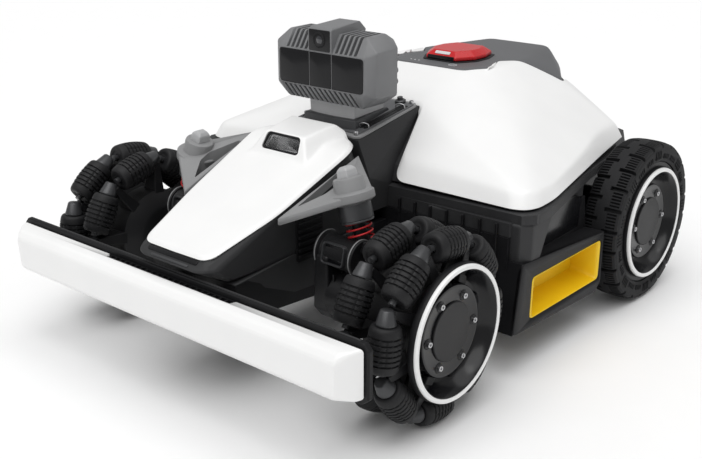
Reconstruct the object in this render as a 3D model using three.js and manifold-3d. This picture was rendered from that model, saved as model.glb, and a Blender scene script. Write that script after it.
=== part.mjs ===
// Four-wheel robot lawn mower: two driven omni wheels with tangential rollers at the front, two lugged wheels
// at the back, a floating bumper, a sensor head, a stop button and a height-adjusted blade disc under the belly.
// Millimetres. +Z is up, the front faces -Y, +X is the mower's left side.
// The origin is on the ground, under the middle.
import * as THREE from "three";
import { ConvexGeometry } from "three/addons/geometries/ConvexGeometry.js";
import { mergeVertices } from "three/addons/utils/BufferGeometryUtils.js";
import Module from "manifold-3d";

const wasm = await Module();
wasm.setup();

// ---------------------------------------------------------------- driving dimensions
const GAP = 0.4; // between fixed neighbours
const FAR = 300; // past the outside of the body, for a cut that runs right through
const HALF_LENGTH = 347;
const SHELL = 3; // wall of the moulded covers

const WHEEL_R = 98;
const WHEEL_FACE_X = 256; // outer face of the ring on every wheel
const FRONT_AXLE_Y = -194;
const REAR_AXLE_Y = 214.6;
const RING_R = 68.6;
const FRONT_RING_BAND = 5.5; // width of the white ring
const REAR_RING_BAND = 4;

const ROLLER_R = 16.5;
const ROLLER_HALF = 22;
const ROLLER_SIDES = 10; // one flat of the ten faces straight out, so a roller at the bottom rests on it
const ROLLER_BORE_R = 4;
const ROLLER_PIN_R = 3.2;
const ROLLERS_PER_ROW = 8;
const ROLLER_PATH_R = WHEEL_R - ROLLER_R;
const ROLLER_ROWS = [
  { name: "outer", x: 230, phase: 129.4 },
  { name: "inner", x: 187, phase: 151.9 },
];

const HUB_DRUM_R = 50;
const HUB_INNER_X = 165;
const POST_HALF = 4; // half thickness of a fork post along the wheel's tangent

const TYRE_INNER_X = 206;
const TYRE_LUGS = 24;
const REAR_RIM_R = 74;

const BELLY_Z = 50;
const SPLIT_Z = 150; // tub below, upper housing above
const LEDGE_Z = 164;
const SKIRT_X = 241;
const SKIRT_BACK_X = 216;
const GRIP = { y0: -47, y1: 103, z0: 57, z1: 105, depthX: 206, wall: 3 }; // the tray in the side skirt

const STRUT = { x: 112.5, y: -183, z: 205, lean: 17 }; // centre of the cup's flange; leans out at the foot
const CUP_R = 17.4; // of the tower, above and below its flange
const SPRING_R = 12.6;
const SPRING_WIRE_R = 1.1;
const SPRING_TURNS = 4;
const SPRING_LOW = -48; // along the strut, from the flange
const SPRING_HIGH = -10.5;

const KNUCKLE = { x0: 87, x1: 137, y: -194, z: 143, r: 20 };
const AXLE_R = 12;

const BUMPER = { halfX: 248, backY: -323, topZ: 129.6, bottomZ: 80.5 };
const BEAM = { halfX: 252, backY: -316, topZ: 133.5, bottomZ: 74 };
const BEAM_ARM = { x: 30, halfX: 8, z0: 92, z1: 108, endY: -262 };

const BLADE_Z = 52;
const BLADE_Y = 20;
const BLADE_DISC_R = 84;
const BLADES = 4;
const DECK_R = 112;

// ---------------------------------------------------------------- looks
function look(color, roughness, metalness = 0) {
  return new THREE.MeshStandardMaterial({ color, roughness, metalness });
}
const WHITE_SHELL = look(0xf1f1f0, 0.35);
const DARK_HOUSING = look(0x3c3d3f, 0.6);
const BLACK_PLASTIC = look(0x1c1c1d, 0.55);
const GREY_PLASTIC = look(0x85868a, 0.5);
const RUBBER = look(0x242425, 0.8);
const CAST_BLACK = look(0x202021, 0.5, 0.6);
const RED_GLOSS = look(0xc4161d, 0.3);
const YELLOW_PLASTIC = look(0xf4bd0c, 0.45);
const SPRING_STEEL = look(0x9c1d22, 0.4, 0.6);
const BLADE_STEEL = look(0xb9bbbe, 0.3, 1);

// ---------------------------------------------------------------- shapes
// Turns a closed geometry into a solid that can be joined and cut.
function solid(geometry) {
  const bare = geometry.clone();
  bare.deleteAttribute("normal");
  bare.deleteAttribute("uv");
  const merged = mergeVertices(bare, 1e-3);
  const body = new wasm.Manifold(
    new wasm.Mesh({
      numProp: 3,
      vertProperties: merged.attributes.position.array,
      triVerts: new Uint32Array(merged.index.array),
    }),
  );
  if (body.volume() <= 0) throw new Error("a shape is inside out");
  return body;
}

function join(...parts) {
  return parts.reduce((a, b) => a.add(b));
}

function cut(body, ...tools) {
  return tools.reduce((a, b) => a.subtract(b), body);
}

// A box from its low corner to its high corner.
function box(x0, y0, z0, x1, y1, z1) {
  const shape = new THREE.BoxGeometry(x1 - x0, y1 - y0, z1 - z0);
  shape.translate((x0 + x1) / 2, (y0 + y1) / 2, (z0 + z1) / 2);
  return solid(shape);
}

// The convex body around a list of corners.
function hull(points) {
  return solid(new ConvexGeometry(points.map((p) => new THREE.Vector3(...p))));
}

// The same corners on both sides of the middle plane.
function bothSides(points) {
  return points.flatMap(([x, y, z]) => [
    [x, y, z],
    [-x, y, z],
  ]);
}

// The outline of the +X half, from front to back, closed by its mirror image.
function mirroredOutline(half) {
  return [...half, ...half.map(([x, y]) => [-x, y]).reverse()];
}

// An outline in the XY plane, raised from z0 to z1.
function prism(outline, z0, z1) {
  const shape = new THREE.Shape(outline.map((p) => new THREE.Vector2(...p)));
  const geometry = new THREE.ExtrudeGeometry(shape, { depth: z1 - z0, bevelEnabled: false });
  geometry.translate(0, 0, z0);
  return solid(geometry);
}

// An outline of [y, z] points, pushed from x0 to x1.
function sidePrism(outline, x0, x1) {
  return sideExtrusion(new THREE.Shape(outline.map((p) => new THREE.Vector2(...p))), x0, x1);
}

function sideExtrusion(shape, x0, x1) {
  const geometry = new THREE.ExtrudeGeometry(shape, { depth: x1 - x0, bevelEnabled: false });
  geometry.applyMatrix4(new THREE.Matrix4().makeBasis(Y_AXIS, Z_AXIS, X_AXIS));
  geometry.translate(x0, 0, 0);
  return solid(geometry);
}
const X_AXIS = new THREE.Vector3(1, 0, 0);
const Y_AXIS = new THREE.Vector3(0, 1, 0);
const Z_AXIS = new THREE.Vector3(0, 0, 1);

// A profile of [radius, height] points turned round +Z, then moved by a matrix.
function turned(profile, segments, matrix = new THREE.Matrix4()) {
  const points = profile.map((p) => new THREE.Vector2(...p));
  const geometry = new THREE.LatheGeometry(points, segments);
  geometry.rotateX(Math.PI / 2);
  geometry.applyMatrix4(matrix);
  return solid(geometry);
}

function rod(radius, z0, z1, segments, matrix) {
  return turned([[0, z0], [radius, z0], [radius, z1], [0, z1]], segments, matrix);
}

// Puts +Z of a turned shape along +X, with its origin at the given point.
function alongX(x, y, z) {
  return new THREE.Matrix4().makeTranslation(x, y, z).multiply(new THREE.Matrix4().makeRotationY(Math.PI / 2));
}

function at(x, y, z) {
  return new THREE.Matrix4().makeTranslation(x, y, z);
}

// Each corner moved towards a point by a given distance, which makes the inside of a shell.
function inset(points, distance, centre) {
  const middle = new THREE.Vector3(...centre);
  return points.map((p) => {
    const corner = new THREE.Vector3(...p);
    return middle.clone().sub(corner).setLength(distance).add(corner).toArray();
  });
}

const mower = new THREE.Group();

// Adds one named piece; a piece of the right side is the left one mirrored in the middle plane.
function piece(name, body, material, mirrored = false) {
  const { numProp, numVert, vertProperties, triVerts } = body.getMesh();
  const positions = new Float32Array(numVert * 3);
  for (let i = 0; i < numVert; i++) {
    positions.set(vertProperties.subarray(i * numProp, i * numProp + 3), i * 3);
  }
  const geometry = new THREE.BufferGeometry();
  geometry.setAttribute("position", new THREE.BufferAttribute(positions, 3));
  geometry.setIndex(new THREE.BufferAttribute(triVerts, 1));
  geometry.computeVertexNormals();
  const mesh = new THREE.Mesh(geometry, material);
  mesh.name = name;
  mesh.scale.x = mirrored ? -1 : 1;
  mower.add(mesh);
}

function pair(name, body, material) {
  piece(name + "_left", body, material);
  piece(name + "_right", body, material, true);
}

// ---------------------------------------------------------------- outlines shared by neighbours
// The white cover's outer corners on the +X side: lower edge, bevel, and top round the rear deck.
const COVER_EDGE = [[70, -64, 180], [228, -57, 177], [240, -42, 177], [237, 0, 177], [200, 172, 182],
  [187, 253, 187.5]];
const COVER_BEVEL = [[80, -56, 197], [220, -46, 195], [230, -32, 195], [227, 2, 195], [191, 170, 201],
  [179.5, 246, 202.5]];
const COVER_TOP = [[51, 12, 250], [50, 90, 277], [72, 124, 277.5], [76, 184, 278], [112, 224, 252],
  [103, 251, 248.5]];
const COVER_END_Y = 244.5;
const COVER = bothSides([...COVER_EDGE, ...COVER_BEVEL, ...COVER_TOP]);
const BODY_MIDDLE = [0, 90, 120];
// The opening of the cover round the sensor base, and its edge round the rear deck.
const NOTCH = mirroredOutline([[76, -80], [51.5, 12]]);
const REAR_DECK = mirroredOutline([[50, 90], [72, 124], [56, 160], [76, 184], [112, 224], [112, 330]]);
const REAR_DECK_HOLE = mirroredOutline(
  [[50.4, 89.4], [72.8, 124], [56.8, 160], [76.6, 183.4], [112.6, 223.4], [104, COVER_END_Y],
    [200, COVER_END_Y], [200, 340]]);
const DECK_TOP = bothSides([[50, 90, 277], [72, 124, 277.5], [76, 184, 278], [112, 224, 252], [88, 262, 246],
  [46, 296, 278], [54, 320, 246]]);
const LEDGE = mirroredOutline([[70, -66], [234, -60], [244, -46], [242, -14], [203, 150], [197, 240], [150, 326],
  [110, HALF_LENGTH]]);

// ---------------------------------------------------------------- chassis
function chassisTub() {
  const shell = join(
    hull(bothSides([[190, -50, BELLY_Z], [196, 106, BELLY_Z], [224, -68, 86], [220, 110, 86], [224, -68, SPLIT_Z],
      [214, 110, SPLIT_Z]])),
    hull(bothSides([[140, 90, 64], [130, 318, 64], [150, 90, SPLIT_Z], [150, 322, SPLIT_Z], [130, 340, SPLIT_Z]])),
    hull(bothSides([[58, -284, 84], [64, -40, 70], [62, -296, 126], [66, -112, 135.4], [66, -40, 135.4]])),
  );
  const cavity = join(
    hull(bothSides([[190, -46, 104], [190, 102, 104], [216, -62, 106], [206, 104, 106], [216, -62, 160],
      [206, 104, 160]])),
    hull(bothSides([[134, 88, 69], [124, 312, 69], [144, 88, 160], [144, 316, 160], [126, 334, 160]])),
    box(-58, -284, 116, 58, -40, 140),
  );
  const bladeRecess = rod(DECK_R + 6, BELLY_Z - 1, 98, 32, at(0, BLADE_Y, 0));
  const motorHole = rod(42, 90, 112, 20, at(0, BLADE_Y, 0));
  const axleBoss = (side) => rod(28, 0, 50, 16, alongX(side > 0 ? 138 : -188, REAR_AXLE_Y, WHEEL_R));
  const axleHole = (side) => rod(AXLE_R + 1.4, 0, 42, 16, alongX(side > 0 ? 152 : -194, REAR_AXLE_Y, WHEEL_R));
  const armHole = (x) => box(
    x - BEAM_ARM.halfX - 1, -300, BEAM_ARM.z0 - 1, x + BEAM_ARM.halfX + 1, BEAM_ARM.endY + 12, BEAM_ARM.z1 + 1);
  const pocketHole = (side) => box(side > 0 ? GRIP.depthX - 1 : -FAR, GRIP.y0 - 4, GRIP.z0 - 4,
    side > 0 ? FAR : 1 - GRIP.depthX, GRIP.y1 + 4, GRIP.z1 + 4);
  const skirt = (side) => sidePrism([[-66, 125], [110, 113], [110, 52], [98, 42], [-78, 49]],
    side > 0 ? SKIRT_BACK_X : -SKIRT_X, side > 0 ? SKIRT_X : -SKIRT_BACK_X);
  const solidTub = join(cut(shell, cavity), axleBoss(1), axleBoss(-1), skirt(1), skirt(-1));
  return cut(solidTub, bladeRecess, motorHole, axleHole(1), axleHole(-1), armHole(BEAM_ARM.x),
    armHole(-BEAM_ARM.x), pocketHole(1), pocketHole(-1));
}

// A grip pocket: a tray in the side skirt, open outwards.
function gripPocket() {
  const { y0, y1, z0, z1, depthX, wall } = GRIP;
  const tray = box(depthX, y0, z0, SKIRT_X + 1.5, y1, z1);
  return cut(tray, hull([[depthX + wall, y0 + 12, z0 + 10], [depthX + wall, y1 - 12, z0 + 10],
    [depthX + wall, y0 + 12, z1 - 10], [depthX + wall, y1 - 12, z1 - 10], [SKIRT_X + 3, y0 + wall, z0 + wall],
    [SKIRT_X + 3, y1 - wall, z0 + wall], [SKIRT_X + 3, y0 + wall, z1 - wall],
    [SKIRT_X + 3, y1 - wall, z1 - wall]]));
}

function upperHousing() {
  const foot = SPLIT_Z + GAP;
  const wall = prism(mirroredOutline([[68, -66], [224, -66], [226, -50], [212, 108], [150, 120], [150, 322],
    [130, 340]]), foot, LEDGE_Z + 1);
  const ledge = prism(LEDGE, LEDGE_Z, LEDGE_Z + 10);
  const domeFoot = bothSides([[216, -40, LEDGE_Z + 2], [186, 220, LEDGE_Z + 2]]);
  const dome = hull([...inset(COVER, 8, BODY_MIDDLE), ...domeFoot]);
  const hump = hull(bothSides([[54, -103, 230], [50, 10, 247.5], [66, -64, 176], [66, -64, foot], [50, 10, foot],
    [66, -98, 190], [66, -98, foot]]));
  const tail = hull(bothSides([[100, 226, 238], [92, 250, 234], [84, 262, 234], [54, 318, 236],
    [176, 226, 180], [176, 250, 184], [186, 240, LEDGE_Z],
    [132, 322, LEDGE_Z], [104, HALF_LENGTH - 3, LEDGE_Z], [98, HALF_LENGTH - 6, 186]]));
  const hollow = hull(inset(COVER, 13, BODY_MIDDLE).concat(bothSides([[204, -50, 148], [196, 100, 148]])));
  const tailHollow = hull(bothSides([[104, 190, 226], [46, 306, 224], [140, 190, 148], [140, 312, 148],
    [110, 332, 148], [96, 330, 180]]));
  const deckSeat = hull(DECK_TOP.flatMap(([x, y, z]) => [[x * 1.02, y, z + 4], [x * 1.02, y, z - 12]]));
  return cut(join(wall, ledge, dome, hump, tail), hollow, tailHollow, deckSeat);
}

function topCover() {
  const inner = inset(COVER, SHELL + 1, BODY_MIDDLE).concat(inset(bothSides(COVER_EDGE), 8, [0, 60, -300]));
  return cut(hull(COVER), hull(inner), prism(NOTCH, 100, FAR), prism(REAR_DECK_HOLE, 100, FAR));
}

function rearDeck() {
  const slab = hull(DECK_TOP.flatMap(([x, y, z]) => [[x, y, z], [x, y, z - 7]]));
  const plan = slab.intersect(prism(REAR_DECK, 200, 300));
  return cut(plan, prism(mirroredOutline([[24, 116.5], [37, 140], [37, 166], [28, 192]]), 240, 290));
}

// ---------------------------------------------------------------- stop button
function stopButton() {
  const foot = mirroredOutline([[22, 118], [35.4, 141], [35.4, 165], [27, 190.4]]);
  const crown = bothSides([[22, 118, 283], [35.4, 141, 283], [35.4, 165, 283], [27, 190.4, 283], [16, 126, 289.5],
    [27, 144, 290], [27, 162, 290], [19, 182, 290]]);
  return join(prism(foot, 272, 283), hull(crown));
}

// ---------------------------------------------------------------- nose
const NOSE_SKIN = [[49, -319, 156.5], [65, -237.5, 186], [72, -133, 231], [50, -106, 232]];
const NOSE_HUMP = [[34, -182, 213], [26, -160, 240], [33, -119, 246.5], [36, -108, 236], [34, -182, 205],
  [36, -108, 226]];

function noseFrame() {
  const body = hull(bothSides([[44, -329, 142.5], [58, -320, 144], [49, -317, 153.4], [64, -237.5, 182.5],
    [70, -136, 226.5], [50, -112, 229], [58, -296, 128], [66, -225, 137], [66, -112, 137], [66, -112, 190]]));
  return cut(body, hull(bothSides([[48, -290, 133], [60, -215, 133], [60, -122, 133], [58, -222, 168],
    [58, -122, 210], [48, -290, 141]])), box(-60, -120, 130, 60, -100, 200));
}

function noseCover() {
  const skin = hull(bothSides(NOSE_SKIN.flatMap(([x, y, z]) => [[x, y, z], [x, y, z - SHELL]])));
  const under = hull(bothSides([[49, -321, 151.5], [64.5, -237.5, 183], [70.5, -133, 227.3], [50, -104, 229.6],
    [40, -321, 124], [60, -104, 150]]));
  const raised = hull(bothSides(NOSE_HUMP));
  const windowRecess = hull(bothSides([[22, -168, 226], [19, -163, 236.5], [26, -182, 226], [23, -176, 243]]));
  return cut(join(cut(skin, under), raised), windowRecess, noseFrameClearance());
}

// The room that the nose frame takes under its cover.
function noseFrameClearance() {
  return hull(bothSides([[44, -329, 142.8], [58, -320, 144.3], [49, -317, 153.7], [64.3, -237.5, 182.9],
    [70.3, -136, 226.9], [50, -112, 229.4], [66, -225, 137], [66, -112, 137]]));
}

// ---------------------------------------------------------------- bumper
function bumperShell() {
  const { halfX, backY, topZ, bottomZ } = BUMPER;
  const body = hull(bothSides([[halfX, backY, topZ], [halfX, backY, bottomZ], [halfX - 4, backY - 10, topZ - 1],
    [233, -HALF_LENGTH + 6, topZ - 3], [233, -HALF_LENGTH, 119], [231, -HALF_LENGTH + 1, 86],
    [228, -HALF_LENGTH + 5, bottomZ], [halfX - 2, backY - 8, bottomZ]]));
  const hollow = hull(bothSides([[halfX - 5, backY + 1, topZ - 4], [halfX - 5, backY + 1, bottomZ + 4],
    [228, -HALF_LENGTH + 8, topZ - 6], [228, -HALF_LENGTH + 5, bottomZ + 6]]));
  const notch = hull(bothSides([[98, backY + 1, topZ + 2], [98, backY + 1, topZ - 9], [92, backY - 7, topZ + 2],
    [92, backY - 7, topZ - 9]]));
  return cut(body, hollow, notch);
}

function bumperBeam() {
  const { halfX, backY, topZ, bottomZ } = BEAM;
  const front = BUMPER.backY + GAP;
  const plate = hull(bothSides([[halfX, front, topZ - 6], [halfX - 5, front, topZ], [halfX, front, bottomZ + 6],
    [halfX - 8, front, bottomZ], [halfX, backY, topZ - 6], [halfX - 5, backY, topZ], [halfX, backY, bottomZ + 6],
    [halfX - 8, backY, bottomZ]]));
  const arm = (x) => box(
    x - BEAM_ARM.halfX, backY - 1, BEAM_ARM.z0, x + BEAM_ARM.halfX, BEAM_ARM.endY, BEAM_ARM.z1);
  return join(plate, arm(BEAM_ARM.x), arm(-BEAM_ARM.x));
}

// ---------------------------------------------------------------- struts and knuckles
// The strut's own frame: its axis is +Z, leaning outwards at the foot.
const strutFrame = at(STRUT.x, STRUT.y, STRUT.z)
  .multiply(new THREE.Matrix4().makeRotationY(-THREE.MathUtils.degToRad(STRUT.lean)));

function strutBracket() {
  const inFlange = (x, y, z) => new THREE.Vector3(x, y, z).applyMatrix4(strutFrame).toArray();
  const armEnds = [[68, -243, 182], [72, -236, 184], [76, -128, 224], [84, -136, 222]];
  const arm = hull([...armEnds, ...armEnds.map(([x, y, z]) => [x, y, z - 8]), inFlange(2, -19.3, -1.3),
    inFlange(18.7, -3.1, -1.7), inFlange(6.1, 18.1, -1.5), inFlange(2, -19.3, -8.7), inFlange(18.7, -3.1, -8.3),
    inFlange(6.1, 18.1, -8.9)]);
  const windowCut = hull([[77, -212, 150], [77, -172, 150], [90, -188, 150], [77, -212, 240], [77, -172, 240],
    [90, -188, 240]]);
  const tower = turned([[0, -30.5], [CUP_R, -30.5], [CUP_R, -11], [23, -8], [23, 0], [CUP_R, 0], [CUP_R, 12], [14, 15],
    [0, 15]], 12, strutFrame);
  const knob = turned([[0, 13], [9, 13], [9, 23], [6, 26], [0, 26]], 4, strutFrame);
  return cut(join(cut(arm, windowCut), tower, knob), rod(15.2, -35, -8.5, 12, strutFrame));
}

function strutSpring() {
  class Helix extends THREE.Curve {
    getPoint(t, target = new THREE.Vector3()) {
      const angle = t * SPRING_TURNS * 2 * Math.PI;
      const height = THREE.MathUtils.lerp(SPRING_LOW, SPRING_HIGH, t);
      return target.set(SPRING_R * Math.cos(angle), SPRING_R * Math.sin(angle), height);
    }
  }
  const wire = new THREE.Shape();
  wire.moveTo(SPRING_WIRE_R, 0);
  wire.lineTo(0, SPRING_WIRE_R);
  wire.lineTo(-SPRING_WIRE_R, 0);
  wire.lineTo(0, -SPRING_WIRE_R);
  const coil = new THREE.ExtrudeGeometry(wire, { steps: SPRING_TURNS * 8, extrudePath: new Helix() });
  return solid(coil.applyMatrix4(strutFrame));
}

// The cast knuckle: cross tube, spring seat with the strut's rod, and the gear case that carries the wheel's axle.
function knuckle() {
  const { x0, x1, y, z, r } = KNUCKLE;
  const tube = turned([[0, 0], [r, 0], [r, 6], [r - 3, 7], [r - 3, x1 - x0 - 6], [r - 1, x1 - x0 - 5],
    [r - 1, x1 - x0], [0, x1 - x0]], 14, alongX(x0, y, z));
  const gearCase = hull([[x0 + 2, y - 20, z], [x0 + 2, y + 16, z], [x0 + 20, y - 20, z], [x0 + 20, y + 16, z],
    [x0 + 2, y - 22, 84], [x0 + 2, y + 22, 84], [x0 + 24, y - 22, 84], [x0 + 24, y + 22, 84],
    [x0 + 4, y - 12, 73], [x0 + 4, y + 12, 73], [x0 + 22, y - 12, 73], [x0 + 22, y + 12, 73]]);
  const axleCase = turned([[0, 20], [24, 20], [24, 40], [18, 46], [18, 66], [0, 66]], 16, alongX(x0, y, WHEEL_R));
  const axle = rod(AXLE_R, 60, 92, 12, alongX(x0, y, WHEEL_R));
  const strutRod = rod(7, SPRING_LOW - 10, -20, 8, strutFrame);
  const seat = rod(15, SPRING_LOW - 12, SPRING_LOW - 2.2, 12, strutFrame);
  return join(tube, gearCase, axleCase, axle, strutRod, seat);
}

// ---------------------------------------------------------------- front wheels
// Each roller is a barrel whose surface follows the wheel's circle, on an axis along the wheel's tangent.
function roller(row, index) {
  const stations = [-1, -0.5, 0, 0.5, 1].map((share) => share * ROLLER_HALF);
  const flatToCorner = Math.cos(Math.PI / ROLLER_SIDES);
  const profile = stations.map((t) => [(Math.sqrt(WHEEL_R ** 2 - t ** 2) - ROLLER_PATH_R) / flatToCorner, t]);
  const tube = [[ROLLER_BORE_R, -ROLLER_HALF], ...profile, [ROLLER_BORE_R, ROLLER_HALF], [ROLLER_BORE_R, -ROLLER_HALF]];
  return turned(tube, ROLLER_SIDES, rollerFrame(row, index));
}

// A roller's own frame: +Z along its axis, +X straight out from the wheel's axle.
function rollerFrame(row, index) {
  const angle = THREE.MathUtils.degToRad(row.phase + (index * 360) / ROLLERS_PER_ROW);
  const outward = new THREE.Vector3(0, Math.cos(angle), Math.sin(angle));
  const tangent = new THREE.Vector3(0, -Math.sin(angle), Math.cos(angle));
  const frame = new THREE.Matrix4().makeBasis(outward, tangent.clone().cross(outward), tangent);
  return frame.setPosition(row.x, FRONT_AXLE_Y + outward.y * ROLLER_PATH_R, WHEEL_R + outward.z * ROLLER_PATH_R);
}

// The hub of a front wheel: drum, dished face with its ring, and a fork post and pins between each two rollers.
function frontHub() {
  const depth = WHEEL_FACE_X - HUB_INNER_X;
  const drum = turned([[AXLE_R + 1.4, 0], [HUB_DRUM_R - 8, 0], [HUB_DRUM_R, 8], [HUB_DRUM_R, depth - 8],
    [RING_R, depth - 6.6], [RING_R, depth], [RING_R - FRONT_RING_BAND, depth], [44, depth - 15], [0, depth - 13], [0, 34],
    [AXLE_R + 1.4, 34], [AXLE_R + 1.4, 0]], 24, alongX(HUB_INNER_X, FRONT_AXLE_Y, WHEEL_R));
  const posts = ROLLER_ROWS.flatMap((row) => Array.from({ length: ROLLERS_PER_ROW }, (_, i) => forkPost(row, i)));
  const pins = ROLLER_ROWS.flatMap((row) => Array.from({ length: ROLLERS_PER_ROW }, (_, i) => (
    rod(ROLLER_PIN_R, -ROLLER_HALF - 8, ROLLER_HALF + 8, 6, rollerFrame(row, i)))));
  return join(drum, ...posts, ...pins);
}

function forkPost(row, index) {
  const angle = THREE.MathUtils.degToRad(row.phase + ((index + 0.5) * 360) / ROLLERS_PER_ROW);
  const frame = new THREE.Matrix4().makeRotationX(angle);
  frame.setPosition(row.x, FRONT_AXLE_Y, WHEEL_R);
  const low = HUB_DRUM_R - 4;
  const high = ROLLER_PATH_R + 3;
  const corner = (x, y, z) => new THREE.Vector3(x, y, z).applyMatrix4(frame).toArray();
  return hull([[-9, low, -POST_HALF - 2], [9, low, -POST_HALF - 2], [-9, low, POST_HALF + 2],
    [9, low, POST_HALF + 2], [-6, high, -POST_HALF], [6, high, -POST_HALF], [-6, high, POST_HALF],
    [6, high, POST_HALF]].map((c) => corner(...c)));
}

// ---------------------------------------------------------------- rear wheels
function rearTyre() {
  const grooveR = WHEEL_R - 6;
  const pitch = 360 / TYRE_LUGS;
  const point = (turn, r) => {
    const angle = THREE.MathUtils.degToRad(turn * pitch - 90);
    return new THREE.Vector2(REAR_AXLE_Y + r * Math.cos(angle), WHEEL_R + r * Math.sin(angle));
  };
  const lug = (i) => [point(i - 0.26, grooveR), point(i - 0.2, WHEEL_R), point(i, WHEEL_R), point(i + 0.2, WHEEL_R),
    point(i + 0.26, grooveR)];
  const outline = new THREE.Shape(Array.from({ length: TYRE_LUGS }, (_, i) => lug(i)).flat());
  outline.holes.push(new THREE.Path(Array.from({ length: TYRE_LUGS }, (_, i) => point(-i, REAR_RIM_R + 1))));
  return sideExtrusion(outline, TYRE_INNER_X, WHEEL_FACE_X - 4);
}

function rearRim() {
  const back = TYRE_INNER_X - 12;
  const depth = WHEEL_FACE_X - back;
  const dish = turned([[0, 0], [40, 0], [44, 14], [REAR_RIM_R, 16], [REAR_RIM_R, depth - 6], [RING_R, depth],
    [RING_R - REAR_RING_BAND, depth], [44, depth - 18], [0, depth - 16]], 24, alongX(back, REAR_AXLE_Y, WHEEL_R));
  const axle = rod(AXLE_R, 156 - back, 2, 16, alongX(back, REAR_AXLE_Y, WHEEL_R));
  return join(dish, axle);
}

// ---------------------------------------------------------------- sensor
function sensorPedestal() {
  const plate = hull(bothSides([[54, -103, 230.5], [50, 10, 248], [54, -103, 233], [50, 10, 250.5]]));
  const neck = hull(bothSides([[39, -96, 233], [34, -20, 244], [38, -92, 259], [30, -30, 261.5]]));
  return cut(join(plate, neck), noseCoverClearance());
}

// The room that the raised middle of the nose cover takes in front of the sensor base.
function noseCoverClearance() {
  return hull(bothSides([[37, -182, 205], [37, -107.4, 225], [37, -107.4, 238], [34, -118, 248], [40, -130, 200]]));
}

function sensorHead() {
  const body = hull(bothSides([[54, -95, 262.5], [54, -60, 262.5], [61.4, -103, 280], [60.6, -103, 318], [72, -94, 276],
    [72, -94, 324], [71, -58, 274], [71, -58, 326], [55.6, -90, 338], [54, -58, 339], [59.4, -50, 280],
    [57.6, -48, 332]]));
  const eye = hull(bothSides([[17, -104, 318], [17, -104, 345], [16, -52, 348], [16, -44, 338], [17, -60, 300],
    [17, -100, 300]]));
  return join(body, eye);
}

// ---------------------------------------------------------------- inside
function batteryPack() {
  return hull(bothSides([[86, 150, 73], [90, 154, 72], [90, 296, 72], [86, 300, 73], [90, 152, 128], [84, 152, 132],
    [84, 298, 132], [90, 298, 128]]));
}

// The lift carriage: blade motor on the deck plate, moved up and down for the cutting height.
function cutterDeck() {
  return turned([[0, 56], [7, 56], [7, 60], [DECK_R - 6, 60], [DECK_R, 64], [DECK_R, 70], [DECK_R - 8, 74], [38, 76],
    [36, 124], [30, 130], [0, 130]], 20, at(0, BLADE_Y, 0));
}

function bladeDisc() {
  const disc = rod(BLADE_DISC_R, BLADE_Z - 2, BLADE_Z + 2, 24, at(0, BLADE_Y, 0));
  const hub = rod(14, BLADE_Z - 5, BLADE_Z + 3.5, 12, at(0, BLADE_Y, 0));
  const blade = (turn) => {
    const frame = at(0, BLADE_Y, 0).multiply(new THREE.Matrix4().makeRotationZ(turn));
    const corners = [[70, -9], [70, 9], [104, 6], [106, -9]].flatMap(([x, y]) => [[x, y, BLADE_Z - 3.4],
      [x, y, BLADE_Z - 1.4]]);
    return hull(corners.map((c) => new THREE.Vector3(...c).applyMatrix4(frame).toArray()));
  };
  const blades = Array.from({ length: BLADES }, (_, i) => blade((i * 2 * Math.PI) / BLADES + 0.4));
  return join(disc, hub, ...blades);
}

// ---------------------------------------------------------------- the mower
piece("chassis_tub", chassisTub(), BLACK_PLASTIC);
piece("upper_housing", upperHousing(), DARK_HOUSING);
piece("top_cover", topCover(), WHITE_SHELL);
piece("rear_deck", rearDeck(), DARK_HOUSING);
piece("stop_button", stopButton(), RED_GLOSS);
piece("nose_frame", noseFrame(), DARK_HOUSING);
piece("nose_cover", noseCover(), WHITE_SHELL);
piece("bumper_shell", bumperShell(), WHITE_SHELL);
piece("bumper_beam", bumperBeam(), BLACK_PLASTIC);
piece("sensor_pedestal", sensorPedestal(), GREY_PLASTIC);
piece("sensor_head", sensorHead(), GREY_PLASTIC);
piece("battery_pack", batteryPack(), BLACK_PLASTIC);
piece("cutter_deck", cutterDeck(), BLACK_PLASTIC);
piece("blade_disc", bladeDisc(), BLADE_STEEL);
pair("grip_pocket", gripPocket(), YELLOW_PLASTIC);
pair("strut_bracket", strutBracket(), GREY_PLASTIC);
pair("strut_spring", strutSpring(), SPRING_STEEL);
pair("knuckle", knuckle(), CAST_BLACK);
pair("front_hub", frontHub(), CAST_BLACK);
pair("rear_tyre", rearTyre(), RUBBER);
pair("rear_rim", rearRim(), CAST_BLACK);
for (const row of ROLLER_ROWS) {
  for (let i = 0; i < ROLLERS_PER_ROW; i++) {
    const body = roller(row, i);
    piece(`roller_left_${row.name}_${i + 1}`, body, RUBBER);
    piece(`roller_right_${row.name}_${i + 1}`, body, RUBBER, true);
  }
}

export default mower;
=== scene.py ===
"""Looks of the four-wheel robot mower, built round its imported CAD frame.

Every shape is written in millimetres in the CAD frame: +Z up, the front faces -Y, the origin on the ground
under the middle. It is turned into metres when its mesh is made. A right-hand piece is the left one mirrored.
"""
import math

import bmesh
import bpy
import numpy as np
from mathutils import Matrix, Vector


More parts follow.
